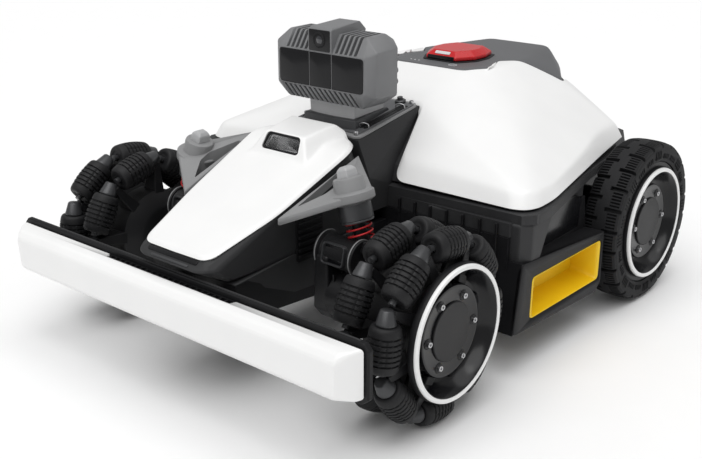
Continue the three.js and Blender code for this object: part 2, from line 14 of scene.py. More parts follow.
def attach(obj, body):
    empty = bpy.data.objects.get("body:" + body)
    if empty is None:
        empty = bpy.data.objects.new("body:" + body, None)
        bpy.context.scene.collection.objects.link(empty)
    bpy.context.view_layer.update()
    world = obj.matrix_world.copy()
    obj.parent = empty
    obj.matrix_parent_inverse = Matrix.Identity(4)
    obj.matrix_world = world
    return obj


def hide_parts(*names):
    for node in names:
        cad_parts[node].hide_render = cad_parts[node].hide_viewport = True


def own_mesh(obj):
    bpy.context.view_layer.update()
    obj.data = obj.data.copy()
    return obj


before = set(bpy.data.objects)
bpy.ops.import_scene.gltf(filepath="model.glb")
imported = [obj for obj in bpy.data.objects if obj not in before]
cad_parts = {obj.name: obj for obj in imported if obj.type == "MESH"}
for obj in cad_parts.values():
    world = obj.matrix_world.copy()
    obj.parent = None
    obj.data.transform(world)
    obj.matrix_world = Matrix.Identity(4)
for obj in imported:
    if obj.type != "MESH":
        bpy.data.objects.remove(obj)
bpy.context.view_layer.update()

# ---------------------------------------------------------------- driving dimensions, in millimetres
MM = 0.001
LEFT, RIGHT = 1, -1
SIDE_NAMES = {LEFT: "left", RIGHT: "right"}

WHEEL_R = 98
FRONT_AXLE_Y = -194
REAR_AXLE_Y = 214.6

ROLLER_HALF = 22
ROLLER_R = 16.5
ROLLER_PATH_R = WHEEL_R - ROLLER_R
ROLLERS_PER_ROW = 8
ROLLER_ROWS = {"outer": (230, 129.4), "inner": (187, 151.9)}

STRUT = Vector((112.5, -183, 205))
STRUT_LEAN = 17
COVER_WALL = 3


# ---------------------------------------------------------------- materials
def material(name, colour, roughness, grain=(400, 0.05), mottle=0.06, rough_spread=0.08, metallic=0.0,
             coat=0.0, shine=0.5):
    """A moulded or cast surface: fine grain bump, slight colour mottling and uneven roughness.
    grain is (noise scale per metre, bump strength); shine is the strength of the plain reflection."""
    made = bpy.data.materials.new(name)
    made.use_nodes = True
    nodes, links = made.node_tree.nodes, made.node_tree.links
    shader = nodes["Principled BSDF"]
    shader.inputs["Metallic"].default_value = metallic
    shader.inputs["Specular IOR Level"].default_value = shine
    shader.inputs["Coat Weight"].default_value = coat
    shader.inputs["Coat Roughness"].default_value = 0.12
    place = nodes.new("ShaderNodeTexCoord")

    cloud = nodes.new("ShaderNodeTexNoise")
    cloud.inputs["Scale"].default_value = 22
    cloud.inputs["Detail"].default_value = 5
    links.new(place.outputs["Object"], cloud.inputs["Vector"])
    tint = nodes.new("ShaderNodeValToRGB")
    tint.color_ramp.elements[0].position = 0.3
    tint.color_ramp.elements[1].position = 0.7
    tint.color_ramp.elements[0].color = [c * (1 - mottle) for c in colour] + [1]
    tint.color_ramp.elements[1].color = [min(1, c * (1 + mottle)) for c in colour] + [1]
    links.new(cloud.outputs["Fac"], tint.inputs["Fac"])
    links.new(tint.outputs["Color"], shader.inputs["Base Color"])

    wear = nodes.new("ShaderNodeMapRange")
    wear.inputs["To Min"].default_value = max(0.02, roughness - rough_spread)
    wear.inputs["To Max"].default_value = min(1, roughness + rough_spread)
    links.new(cloud.outputs["Fac"], wear.inputs["Value"])
    links.new(wear.outputs["Result"], shader.inputs["Roughness"])

    grit = nodes.new("ShaderNodeTexNoise")
    grit.inputs["Scale"].default_value = grain[0]
    grit.inputs["Detail"].default_value = 3
    links.new(place.outputs["Object"], grit.inputs["Vector"])
    bump = nodes.new("ShaderNodeBump")
    bump.inputs["Strength"].default_value = grain[1]
    bump.inputs["Distance"].default_value = 0.0006
    links.new(grit.outputs["Fac"], bump.inputs["Height"])
    links.new(bump.outputs["Normal"], shader.inputs["Normal"])
    return made


WHITE = material("white_shell", (0.85, 0.85, 0.846), 0.34, (900, 0.05), 0.012, 0.05, coat=0.15)
HOUSING = material("dark_housing", (0.026, 0.0262, 0.0275), 0.52, (1400, 0.35), 0.10, shine=0.3)
DECK = material("deck_plastic", (0.105, 0.107, 0.112), 0.5, (1600, 0.4), 0.08, shine=0.4)
BLACK = material("black_plastic", (0.007, 0.007, 0.008), 0.5, (1100, 0.22), 0.15, shine=0.22)
GLOSS_BLACK = material("gloss_black", (0.004, 0.004, 0.005), 0.2, (700, 0.03), 0.1, 0.04, shine=0.35)
GREY = material("grey_plastic", (0.235, 0.236, 0.239), 0.5, (1500, 0.4), 0.06)
HEAD_GREY = material("sensor_grey", (0.175, 0.177, 0.182), 0.48, (1500, 0.4), 0.06)
LIGHT_GREY = material("light_grey_plastic", (0.40, 0.402, 0.408), 0.46, (1500, 0.35), 0.05)
TYRE = material("tyre", (0.009, 0.009, 0.010), 0.66, (900, 0.5), 0.18, 0.12, shine=0.28)
ROLLER_RUBBER = material("roller_rubber", (0.011, 0.011, 0.012), 0.56, (900, 0.45), 0.16, 0.12, shine=0.28)
CAST = material("cast_black", (0.010, 0.010, 0.011), 0.42, (1300, 0.4), 0.12, 0.1, shine=0.3)
SATIN_DARK = material("satin_dark", (0.05, 0.051, 0.054), 0.34, (1200, 0.2), 0.08, 0.08, metallic=0.3)
STEEL = material("steel", (0.52, 0.52, 0.53), 0.3, (600, 0.12), 0.06, 0.1, metallic=1.0)
SPRING_RED = material("spring_red", (0.50, 0.018, 0.022), 0.36, (900, 0.1), 0.10, 0.06, metallic=0.3)
RED = material("red_gloss", (0.52, 0.010, 0.014), 0.28, (900, 0.05), 0.05, 0.05, shine=0.4)
YELLOW = material("yellow_plastic", (0.84, 0.56, 0.006), 0.42, (1200, 0.22), 0.04)
LABEL = material("label_print", (0.62, 0.62, 0.63), 0.5, (900, 0.1), 0.04)
GLASS = material("dark_glass", (0.004, 0.004, 0.005), 0.14, (300, 0.01), 0.08, 0.03, shine=0.3)
LENS = material("lens_glass", (0.006, 0.007, 0.012), 0.05, (200, 0.005), 0.2, 0.02, coat=1.0)


# ---------------------------------------------------------------- mesh helpers
def publish(name, bm, surface, side=LEFT, sharp=32):
    """Turns a bmesh in millimetres into an object in metres, mirrored for the right side."""
    if side == RIGHT:
        bm.transform(Matrix.Scale(-1, 4, (1, 0, 0)))
        bmesh.ops.reverse_faces(bm, faces=bm.faces)
    bm.transform(Matrix.Scale(MM, 4))
    mesh = bpy.data.meshes.new(name)
    bm.to_mesh(mesh)
    bm.free()
    mesh.shade_smooth()
    if sharp:
        mesh.set_sharp_from_angle(angle=math.radians(sharp))
    mesh.materials.append(surface)
    obj = bpy.data.objects.new(name, mesh)
    bpy.context.scene.collection.objects.link(obj)
    return obj


def settle(obj, body, slot=None, *nodes):
    """The piece rides on its body and stands for these CAD nodes; slot is not used."""
    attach(obj, body)
    if nodes:
        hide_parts(*nodes)
    return obj


def rounded(obj, width, segments=3, angle=28):
    """Rounds the edges over that angle, with clean shading on the flats."""
    bevel = obj.modifiers.new("rounded", "BEVEL")
    bevel.width = width * MM
    bevel.segments = segments
    bevel.limit_method = "ANGLE"
    bevel.angle_limit = math.radians(angle)
    bevel.harden_normals = True
    return obj


def softened_node(name, surface, width=1.2):
    """A CAD node that stays: a new material, and small rounds on its edges."""
    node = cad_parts[name]
    node.data.materials.clear()
    node.data.materials.append(surface)
    weld = node.modifiers.new("weld", "WELD")
    weld.merge_threshold = 0.01 * MM
    flat = node.modifiers.new("flat", "DECIMATE")
    flat.decimate_type = "DISSOLVE"
    flat.angle_limit = math.radians(1)
    rounded(node, width, 2)
    return node


def applied(obj):
    """The same object with its modifiers made real."""
    graph = bpy.context.evaluated_depsgraph_get()
    mesh = bpy.data.meshes.new_from_object(obj.evaluated_get(graph))
    obj.modifiers.clear()
    old = obj.data
    obj.data = mesh
    bpy.data.meshes.remove(old)
    return obj


def cut(obj, *cutters):
    """Takes the cutters away from the object, and removes them."""
    for cutter in cutters:
        boolean = obj.modifiers.new("cut", "BOOLEAN")
        boolean.operation = "DIFFERENCE"
        boolean.solver = "EXACT"
        boolean.object = cutter
    applied(obj)
    for cutter in cutters:
        bpy.data.objects.remove(cutter)
    return obj


def both(points):
    """The same corners on both sides of the middle plane."""
    return [(s * x, y, z) for x, y, z in points for s in (1, -1)]


def hull(points, flat=2):
    """The convex body round a list of corners."""
    bm = bmesh.new()
    for p in points:
        bm.verts.new(p)
    made = bmesh.ops.convex_hull(bm, input=bm.verts)
    loose = {v for v in made["geom_interior"] + made["geom_unused"] if isinstance(v, bmesh.types.BMVert)}
    bmesh.ops.delete(bm, geom=list(loose), context="VERTS")
    bmesh.ops.dissolve_limit(bm, angle_limit=math.radians(flat), verts=bm.verts, edges=bm.edges)
    bmesh.ops.recalc_face_normals(bm, faces=bm.faces)
    return bm


def box(low, high):
    """A box between two corners; its edges are rounded afterwards."""
    return hull([(x, y, z) for x in (low[0], high[0]) for y in (low[1], high[1]) for z in (low[2], high[2])])


def joined(*parts):
    """Several bmeshes in one."""
    whole = bmesh.new()
    for part in parts:
        mesh = bpy.data.meshes.new("part")
        part.to_mesh(mesh)
        part.free()
        whole.from_mesh(mesh)
        bpy.data.meshes.remove(mesh)
    return whole


def rings(loops, caps=True, closed=False):
    """A skin over loops with the same number of points, capped at its ends or closed on itself."""
    bm = bmesh.new()
    made = [[bm.verts.new(p) for p in loop] for loop in loops]
    pairs = list(zip(made, made[1:])) + ([(made[-1], made[0])] if closed else [])
    for a, b in pairs:
        for i in range(len(a)):
            j = (i + 1) % len(a)
            bm.faces.new((a[i], a[j], b[j], b[i]))
    if caps and not closed:
        bm.faces.new(made[0][::-1])
        bm.faces.new(made[-1])
    bmesh.ops.recalc_face_normals(bm, faces=bm.faces)
    return bm


def turned(profile, segments=64, matrix=None):
    """A profile of (radius, height) turned round +Z. A radius of nearly zero closes it on the axis."""
    bm = bmesh.new()
    loops = []
    for r, z in profile:
        if r < 1e-3:
            loops.append([bm.verts.new((0, 0, z))])
            continue
        angles = [2 * math.pi * i / segments for i in range(segments)]
        loops.append([bm.verts.new((r * math.cos(a), r * math.sin(a), z)) for a in angles])
    for a, b in zip(loops, loops[1:]):
        for i in range(segments):
            j = (i + 1) % segments
            corners = [a[i % len(a)], a[j % len(a)], b[j % len(b)], b[i % len(b)]]
            corners = list(dict.fromkeys(corners))
            if len(corners) > 2:
                bm.faces.new(corners)
    bmesh.ops.recalc_face_normals(bm, faces=bm.faces)
    if matrix is not None:
        bm.transform(matrix)
    return bm


def along_x(x, y, z):
    """Puts +Z of a turned shape along +X, with its origin at that point."""
    return Matrix.Translation((x, y, z)) @ Matrix.Rotation(math.pi / 2, 4, "Y")


def frame_of(origin, z_axis, x_hint=(1, 0, 0)):
    """A matrix with +Z along z_axis and +X as near the hint as it goes."""
    z = Vector(z_axis).normalized()
    y = z.cross(Vector(x_hint)).normalized()
    x = y.cross(z)
    made = Matrix((x, y, z)).transposed().to_4x4()
    made.translation = Vector(origin)
    return made


def fillet(corners, radius, closed=True, steps=5):
    """A line with a round at each corner. radius is one number, or one for each corner."""
    points = [Vector(c) for c in corners]
    radii = radius if isinstance(radius, (list, tuple)) else [radius] * len(points)
    made = []
    for i, corner in enumerate(points):
        if not closed and i in (0, len(points) - 1):
            made.append(corner)
            continue
        before, after = points[i - 1] - corner, points[(i + 1) % len(points)] - corner
        reach = min(radii[i], before.length * 0.48, after.length * 0.48)
        start, end = corner + before.normalized() * reach, corner + after.normalized() * reach
        for k in range(steps + 1):
            t = k / steps
            made.append(start * (1 - t) ** 2 + corner * 2 * t * (1 - t) + end * t**2)
    return made


def rounded_rect(half_w, half_h, radius, steps=5, inset=0.0):
    """The outline of a rectangle with round corners, round the origin of the XY plane."""
    w, h = half_w - inset, half_h - inset
    return fillet([(w, h, 0), (-w, h, 0), (-w, -h, 0), (w, -h, 0)], max(0.3, radius - inset), True, steps)


def moved(points, matrix):
    return [matrix @ Vector(p) for p in points]


def block(outline, z0, z1, round_off=1.0, matrix=None, steps=3):
    """An outline of the XY plane raised from z0 to z1, its top edge rounded by loops that draw in."""
    middle = sum((Vector(p) for p in outline), Vector()) / len(outline)
    loops = []
    for z, inset in [(z0, 0)] + [(z1 - round_off * (1 - math.sin(k / steps * math.pi / 2)),
                                  round_off * (1 - math.cos(k / steps * math.pi / 2)))
                                 for k in range(steps + 1)]:
        loop = []
        for p in outline:
            arm = Vector(p) - middle
            arm.z = 0
            loop.append(Vector((p[0], p[1], z)) - arm.normalized() * min(inset, arm.length * 0.6))
        loops.append(loop)
    bm = rings(loops)
    if matrix is not None:
        bm.transform(matrix)
    return bm


def wire(name, points, radius, surface, closed=False):
    """A round wire or cord through these points."""
    curve = bpy.data.curves.new(name, "CURVE")
    curve.dimensions = "3D"
    curve.bevel_depth = radius * MM
    curve.bevel_resolution = 3
    curve.use_fill_caps = True
    spline = curve.splines.new("POLY")
    spline.points.add(len(points) - 1)
    for target, p in zip(spline.points, points):
        target.co = (*(Vector(p) * MM), 1)
    spline.use_cyclic_u = closed
    spline.use_smooth = True
    curve.materials.append(surface)
    obj = bpy.data.objects.new(name, curve)
    bpy.context.scene.collection.objects.link(obj)
    return obj


def sweep(points, radii, segments=20):
    """A round bar along points, with its own radius at each."""
    path = [Vector(p) for p in points]
    loops = []
    for i, p in enumerate(path):
        ahead = path[min(i + 1, len(path) - 1)] - path[max(i - 1, 0)]
        turn = frame_of(p, ahead, (1, 0, 0.01))
        angles = [2 * math.pi * k / segments for k in range(segments)]
        loops.append([turn @ Vector((radii[i] * math.cos(a), radii[i] * math.sin(a), 0)) for a in angles])
    return rings(loops)


# ---------------------------------------------------------------- sheets: covers shaped by soft planes
def planes_above(points):
    """The upper faces of the body round these corners, as (a, b, c) in z = a x + b y + c."""
    bm = hull(points)
    planes = []
    for face in bm.faces:
        n = face.normal
        if n.z > 0.12:
            p = face.calc_center_median()
            planes.append((-n.x / n.z, -n.y / n.z, n.dot(p) / n.z))
    bm.free()
    return np.array(planes)


def soft_low(heights, soft):
    """The lowest of several heights, with their creases rounded."""
    heights = np.array(heights)
    low = heights.min(axis=0)
    return low - soft * np.log(np.exp(-(heights - low) / soft).sum(axis=0))


def soft_high(heights, soft):
    return -soft_low([-h for h in heights], soft)


def plane_heights(planes, x, y):
    return [a * x + b * y + c for a, b, c in planes]


def eased_line(shares, corners, count, window):
    """Points along a line that passes its corners at given shares, its corners rounded by a running mean."""
    s = np.linspace(shares[0], shares[-1], count)
    spread = np.linspace(-window / 2, window / 2, 21)
    room = np.minimum(np.minimum(s - shares[0], shares[-1] - s), window / 2)
    corners = np.array(corners, float)
    made = []
    for share, r in zip(s, room):
        at = share + spread * (2 * r / window)
        made.append([np.interp(at, shares, corners[:, k]).mean() for k in range(corners.shape[1])])
    return np.array(made)


def sheet(inner, outer, height, rows):
    """A grid between two lines in plan, finer at the outer one, raised to height(x, y, distance, outer z)."""
    t = np.sin(np.linspace(0, 1, rows) * math.pi / 2)
    bm = bmesh.new()
    grid = []
    for a, b in zip(inner, outer):
        xy = a[None, :2] + (b[:2] - a[:2])[None] * t[:, None]
        distance = np.hypot(*(xy - b[:2]).T)
        z = height(xy[:, 0], xy[:, 1], distance, np.full(rows, b[2] if len(b) > 2 else 0.0))
        grid.append([bm.verts.new((*p, h)) for p, h in zip(xy, z)])
    for p, q in zip(grid, grid[1:]):
        for i in range(rows - 1):
            bm.faces.new((p[i], p[i + 1], q[i + 1], q[i]))
    bmesh.ops.remove_doubles(bm, verts=bm.verts, dist=0.02)
    bmesh.ops.recalc_face_normals(bm, faces=bm.faces)
    if sum(f.normal.z * f.calc_area() for f in bm.faces) < 0:
        bmesh.ops.reverse_faces(bm, faces=bm.faces)
    return bm


def thickened(obj, wall, edge=0.8):
    """Gives a sheet its wall, inwards, and rounds its rim."""
    solid = obj.modifiers.new("wall", "SOLIDIFY")
    solid.thickness = wall * MM
    solid.offset = -1
    solid.use_even_offset = False
    applied(obj)
    rounded(obj, edge, 3, 50)
    return obj


def mirrored_line(shares, corners):
    """A line given on the +X side, from the middle plane outwards, and its mirror image before it."""
    back = [(-c[0], *c[1:]) for c in corners[::-1]]
    return [-s for s in shares[::-1]] + shares[1:], back + list(corners[1:])


# ---------------------------------------------------------------- white top cover
COVER_BAND = [(80, -56, 197), (220, -46, 195), (230, -32, 195), (227, 2, 195), (191, 170, 201),
              (179.5, 246, 202.5)]
COVER_CROWN = [(51, 12, 250), (50, 90, 277), (72, 124, 277.5), (76, 184, 278), (112, 224, 252),
               (103, 251, 248.5)]
COVER_EDGE = [(0, 12.6, 246), (51.8, 12.6, 246), (70.8, -63.4, 180.6), (227.4, -56.4, 177.6),
              (239.2, -42, 177.6), (236.2, 0, 177.6), (199.4, 171.4, 182.6), (188.2, 244, 187.8)]
COVER_EDGE_SHARES = [0, 0.0885, 0.2225, 0.504, 0.532, 0.604, 0.88, 1]
COVER_DECK_EDGE = [(0, 89.5), (50.4, 89.5), (72.7, 124), (56.9, 160), (76.7, 183.5), (112.7, 223.5),
                   (104.2, 244)]
COVER_DECK_SHARES = [0, 0.0885, 0.2225, 0.45, 0.6, 0.9, 1]
BAND_RISE = 1.6


def top_cover():
    planes = planes_above(both(COVER_BAND + COVER_CROWN))

    def height(x, y, distance, edge_z):
        upper = soft_low(plane_heights(planes, x, y), 1.3)
        return soft_low([upper, edge_z + BAND_RISE * distance], 1.4)

    outer = eased_line(*mirrored_line(COVER_EDGE_SHARES, COVER_EDGE), 321, 0.05)
    inner = eased_line(*mirrored_line(COVER_DECK_SHARES, COVER_DECK_EDGE), 321, 0.05)
    cover = publish("cover_shell", sheet(inner, outer, height, 56), WHITE, sharp=70)
    settle(thickened(cover, COVER_WALL), "chassis", "white_shell", "top_cover")


# ---------------------------------------------------------------- rear deck and stop button
DECK_CROWN = [(50, 90, 277), (72, 124, 277.5), (76, 184, 278), (112, 224, 252), (88, 262, 246),
              (46, 296, 278), (54, 320, 246)]
DECK_EDGE = [(0, 90.5), (49.6, 90.5), (71.5, 124), (55.5, 160), (75.5, 184.3), (111, 224.4), (87.4, 262),
             (53.4, 319.4), (0, 319.4)]
DECK_EDGE_SHARES = [0, 0.12, 0.25, 0.38, 0.5, 0.66, 0.8, 0.93, 1]
DECK_SPINE = [(0, 98), (0, 312)]
BUTTON_FOOT = [(22, 118), (35.4, 141), (35.4, 165), (27, 190.4)]


def rear_deck():
    planes = planes_above(both(DECK_CROWN))

    def height(x, y, distance, _edge_z):
        upper = soft_low(plane_heights(planes, x, y), 2.0)
        return upper - 2.2 * np.clip(1 - distance / 3.5, 0, 1) ** 2

    outer = eased_line(*mirrored_line(DECK_EDGE_SHARES, DECK_EDGE), 241, 0.035)
    inner = eased_line(*mirrored_line([0, 1], DECK_SPINE), 241, 0.035)
    deck = publish("deck_panel", sheet(inner, outer, height, 40), DECK, sharp=70)
    settle(thickened(deck, 4, 0.5), "chassis", "dark_housing", "rear_deck")
    deck_details()


def deck_details():
    """The button's recessed plinth, its icon ring, a fine line, the corner screws and the small side nub."""
    plinth = fillet([(s * x, y, 0) for s, line in ((1, BUTTON_FOOT), (-1, BUTTON_FOOT[::-1])) for x, y in
                     [(x * 1.12, 154 + (y - 154) * 1.1) for x, y in line]], 4)
    plate = publish("button_plinth", block(plinth, 274, 278.6, 0.8), BLACK)
    settle(plate, "chassis", "black_plastic")
    ring = [(28 + 5 * math.cos(a), 104 + 5 * math.sin(a), 277.6)
            for a in np.linspace(0, 2 * math.pi, 25)[:-1]]
    settle(wire("deck_icon_ring", ring, 0.35, LABEL, True), "chassis")
    for k, x in enumerate((-34, -28, -22)):
        dot = publish(f"deck_status_dot_{k + 1}", turned([(0, 277.2), (1.1, 277.2), (1.0, 277.9), (0, 278)],
                                                         16, Matrix.Translation((x, 103, 0))), LABEL)
        settle(dot, "chassis")
    line = [(30, 206, 270.8), (52, 214, 266.6), (66, 240, 262.2)]
    settle(wire("deck_trim_line", fillet(line, 10, False), 0.35, LABEL), "chassis")
    for side in (LEFT, RIGHT):
        screw(f"deck_screw_{SIDE_NAMES[side]}", (46, 283, 272.5), (0.25, 0.1, 1), 3.0, side, "chassis")
    nub = publish("deck_nub", turned([(0, 0), (3, 0), (3, 4), (2.2, 5), (0, 5)], 20,
                  Matrix.Translation((-68, 205, 264))), BLACK)
    settle(nub, "chassis", "black_plastic")


def screw(name, place, direction, radius, side, body, slot="blade_steel"):
    """A socket screw, its head standing 0.8 radius proud."""
    profile = [(0, 0.2 * radius), (0.45 * radius, 0.2 * radius), (0.5 * radius, 0.62 * radius),
               (0.85 * radius, 0.7 * radius), (radius, 0.5 * radius), (radius, -0.6 * radius),
               (0, -0.6 * radius)]
    head = publish(name, turned(profile, 24, frame_of(place, direction, (0, 1, 0))), STEEL, side)
    return settle(head, body, slot)


def stop_button():
    foot = [(s * x, y) for s, line in ((1, BUTTON_FOOT), (-1, BUTTON_FOOT[::-1])) for x, y in line]
    crown = [(x, y, z) for x, y in foot for z in (278.9, 283)] + both(
        [(16, 126, 289.3), (27, 144, 289.8), (27, 162, 289.8), (19, 182, 289.8)])
    button = rounded(publish("stop_button_cap", hull(crown, 4), RED, sharp=0), 1.4, 4, 15)
    settle(button, "stop_button", "red_gloss", "stop_button")
    face = frame_of((0, 122, 286.9), (0, -0.66, 0.75), (1, 0, 0))
    label = publish("stop_button_label", block(rounded_rect(11, 2.2, 1), -0.4, 0.15, 0.1, face), LABEL)
    settle(label, "stop_button")
    front = frame_of((0, 117.9, 281.3), (0, -1, 0.05), (1, 0, 0))
    slot = publish("stop_button_front", block(rounded_rect(19.6, 2.5, 1), -0.5, 0.45, 0.3, front),
                   GLOSS_BLACK)
    settle(slot, "stop_button", "black_plastic")


# ---------------------------------------------------------------- nose
NOSE_EDGE = [(0, -318.6, 153.6), (48, -317.6, 153.6), (64.6, -237.5, 183.5), (71.5, -133, 228),
             (50, -106.5, 229.5), (0, -106.5, 229.5)]
NOSE_EDGE_SHARES = [0, 0.16, 0.42, 0.78, 0.88, 1]
NOSE_CORNER = 0.09  # share of the line over which its corners are rounded
NOSE_SPINE = [(0, -308), (0, -118)]
NOSE_SPINE_Z = ([-319, -237.5, -133, -100], [156.4, 188.5, 234, 235])
NOSE_HUMP_TOP = (33, 246.4, -119, 0.155)
WINDOW_PLACE = Vector((0, -164.3, 231.3))
WINDOW_NORMAL = (0, -0.888, 0.459)


def nose_cover():
    def height(x, y, distance, edge_z):
        window = np.linspace(-9, 9, 7)
        spine = np.mean([np.interp(y + w, *NOSE_SPINE_Z) for w in window], axis=0)
        base = soft_low([spine - 2.6 * (x / 70) ** 2, edge_z + 1.3 * distance], 1.2)
        reach, top, top_y, slope = NOSE_HUMP_TOP
        lid = top + slope * (y - top_y)
        wall = lid - 1.5 * (np.abs(x) - reach + 5 - 0.09 * (y + 160))
        front = WINDOW_PLACE.z + 1.93 * (y - WINDOW_PLACE.y)
        back = lid - 1.2 * (y + 114)
        hump = soft_low([lid, wall, front, back], 1.3)
        return soft_high([base, hump], 1.6)

    outer = eased_line(*mirrored_line(NOSE_EDGE_SHARES, NOSE_EDGE), 281, NOSE_CORNER)
    inner = eased_line(*mirrored_line([0, 1], NOSE_SPINE), 281, NOSE_CORNER)
    cover = publish("nose_shell", sheet(inner, outer, height, 64), WHITE, sharp=70)
    solid = cover.modifiers.new("wall", "SOLIDIFY")
    solid.thickness = 2.6 * MM
    solid.offset = -1
    applied(cover)
    window = frame_of(WINDOW_PLACE, WINDOW_NORMAL, (1, 0, 0))
    cover = cut(cover, publish("window_cutter", block(window_outline(0), -14, 12, 0.1, window), WHITE))
    rounded(cover, 0.7, 2, 55)
    settle(cover, "chassis", "white_shell", "nose_cover")
    nose_window(window)


def window_outline(inset):
    """The nose window seen from the front: wider at the foot, with round corners."""
    return fillet([(24 - inset, 9.4 - inset, 0), (-24 + inset, 9.4 - inset, 0),
                   (-26.6 + inset, -8 + inset, 0), (-24 + inset, -10 + inset, 0),
                   (24 - inset, -10 + inset, 0), (26.6 - inset, -8 + inset, 0)], [5, 5, 3, 2, 2, 3])


def nose_window(window):
    """A black rim, painted shade at the edges of the sunk window, and the grey tray sunk behind it."""
    loops = [moved([(p.x, p.y, z) for p in window_outline(inset)], window)
             for inset, z in ((0.3, -9), (0.3, -0.9), (0.8, -0.5), (1.7, -0.6), (2.6, -2.2), (4.5, -7.4),
                              (7, -8))]
    # The rim's black is painted shade at the window's sunk edge.
    rim = publish("nose_window_rim", rings(loops[:5]), BLACK, sharp=50)
    settle(rim, "chassis", "black_plastic")
    tray = publish("nose_window_tray", rings(loops[4:]), LIGHT_GREY, sharp=50)
    settle(tray, "chassis", "grey_plastic")


def nose_frame():
    body = hull(both([(38, -327.4, 143.2), (49, -323, 144), (55.6, -314, 144.6), (47.4, -316, 152.6),
                      (63.8, -237.5, 182.2), (69.8, -136, 226.2), (50, -112.4, 228.6), (58, -296, 128.4),
                      (66, -225, 137.2), (66, -112.4, 137.2), (66, -112.4, 190)]), 3)
    shell = rounded(publish("nose_body", body, HOUSING, sharp=0), 3.2, 5, 12)
    settle(shell, "chassis", "dark_housing", "nose_frame")
    slot = frame_of((0, -319.4, 150.2), (0, -0.68, 0.73), (1, 0, 0))
    strip = publish("nose_light_slot", block(rounded_rect(36, 2.6, 2), -3, 0.8, 0.4, slot), GLOSS_BLACK)
    settle(strip, "chassis", "black_plastic")
    lamp = frame_of((0, -324, 146), (0, -0.68, 0.73), (1, 0, 0))
    bar = publish("nose_light_strip", block(rounded_rect(27, 1.2, 1), -3, 0.9, 0.4, lamp), SATIN_DARK)
    settle(bar, "chassis", "grey_plastic")
    for side in (LEFT, RIGHT):
        flank = hull([(20, -283, 92), (57.6, -284, 92), (61.4, -296, 126.6), (66.8, -225, 137),
                      (66.8, -90, 137), (66.8, -90, 92), (20, -90, 92), (20, -90, 137), (20, -296, 126.6)])
        skin = rounded(publish(f"nose_flank_{SIDE_NAMES[side]}", flank, HOUSING, side, 0), 1.6, 3)
        settle(skin, "chassis", "dark_housing")
        side_vent(side)


def side_vent(side):
    """The black recess in the nose's flank, behind the strut, with its bars."""
    where = frame_of((68.2, -196, 150), (1, -0.02, 0), (0, 1, 0))
    back = block(rounded_rect(19, 23, 3), -4, 0.3, 0.2, where)
    bars = [block(moved(rounded_rect(17, 1.6, 1), Matrix.Translation((0, y, 0))), 0, 2.2, 0.6, where)
            for y in np.linspace(-17, 17, 6)]
    vent = publish(f"nose_vent_{SIDE_NAMES[side]}", joined(back, *bars), BLACK, side)
    settle(vent, "chassis", "black_plastic")


# ---------------------------------------------------------------- bumper
def bumper():
    front = [(247.6, -324, 129.4), (247.6, -324, 80.8), (243.4, -333, 128.4), (233, -341, 126.4),
             (233, -346.8, 119), (231, -346, 86), (228, -342, 80.8), (245.6, -331, 80.8)]
    shell = rounded(publish("bumper_skin", hull(both(front), 4), WHITE, sharp=0), 4.5, 6, 14)
    applied(shell)
    notch = publish("notch_cutter", hull(both([(99, -318, 140), (92, -331.5, 140), (99, -318, 121),
                                               (92, -331.5, 121)])), WHITE)
    cut(shell, notch)
    settle(shell, "bumper", "white_shell", "bumper_shell")
    floor = box((-96, -331, 117), (96, -323.4, 121.4))
    ribs = [box((x - 1.3, -330.6, 120), (x + 1.3, -323.6, 127.6)) for x in np.linspace(-91, 91, 23)]
    rails = [box((-95, y, 120), (95, y + 1.4, 128)) for y in (-331, -325)]
    settle(publish("bumper_grille", joined(floor, *ribs, *rails), BLACK, sharp=30), "bumper", "black_plastic")

    beam = [(x, y, z) for y in (-322.8, -316.2) for x, z in
            ((251.8, 127), (246, 133.4), (251.8, 80.4), (243.6, 74.2))]
    bar = rounded(publish("bumper_bar", hull(both(beam), 3), BLACK, sharp=0), 1.6, 3)
    settle(bar, "bumper", "black_plastic", "bumper_beam")
    lip = [(x, -319.4, z) for x, z in [(0, 133.2), (240, 133.2), (248.6, 127), (250.4, 92)]]
    lip = [(-x, y, z) for x, y, z in lip[:0:-1]] + lip
    settle(wire("bumper_lip", fillet(lip, 6, False), 1.2, HOUSING), "bumper", "black_plastic")
    for x in (-30, 30):
        arm = rounded(publish(f"bumper_arm_{'right' if x < 0 else 'left'}",
                              box((x - 8, -317, 92), (x + 8, -262, 108)), BLACK, sharp=0), 1.5, 3)
        settle(arm, "bumper", "black_plastic")


# ---------------------------------------------------------------- lower body
SKIRT = [(-66, 125), (110, 113), (110, 52), (98, 42), (-78, 49)]
POCKET = [(103, 105), (-45, 104.6), (-46.6, 57.6), (102.6, 57.6)]
POCKET_FLOOR = [(96, 98), (-38, 98), (-38, 64), (96, 64)]
FRONT_WALL_Y = -68


def side_plane(y, z, x):
    return Vector((x, y, z))


def grip_pocket(side):
    def loop(shrink, x, radius):
        outline = fillet([side_plane(y, z, x) for y, z in POCKET], radius)
        middle = sum(outline, Vector()) / len(outline)
        return [p + (middle - p).normalized() * shrink for p in outline]

    floor = fillet([side_plane(y, z, 209.4) for y, z in POCKET_FLOOR], 7)
    shelf = [a.lerp(b, 0.88) for a, b in zip(loop(5, 240, 6), floor)]
    for p in shelf:
        p.x = 212
    loops = [loop(0.6, 207, 6), loop(0.2, 240, 6), loop(0.4, 241.8, 6), loop(1.4, 242.4, 6),
             loop(3.0, 242.2, 6), loop(4.2, 240.8, 6), loop(5.0, 238.6, 6), shelf, floor]
    tray = publish(f"grip_tray_{SIDE_NAMES[side]}", rings(loops), YELLOW, side, 50)
    settle(tray, "chassis", "yellow_plastic", f"grip_pocket_{SIDE_NAMES[side]}")


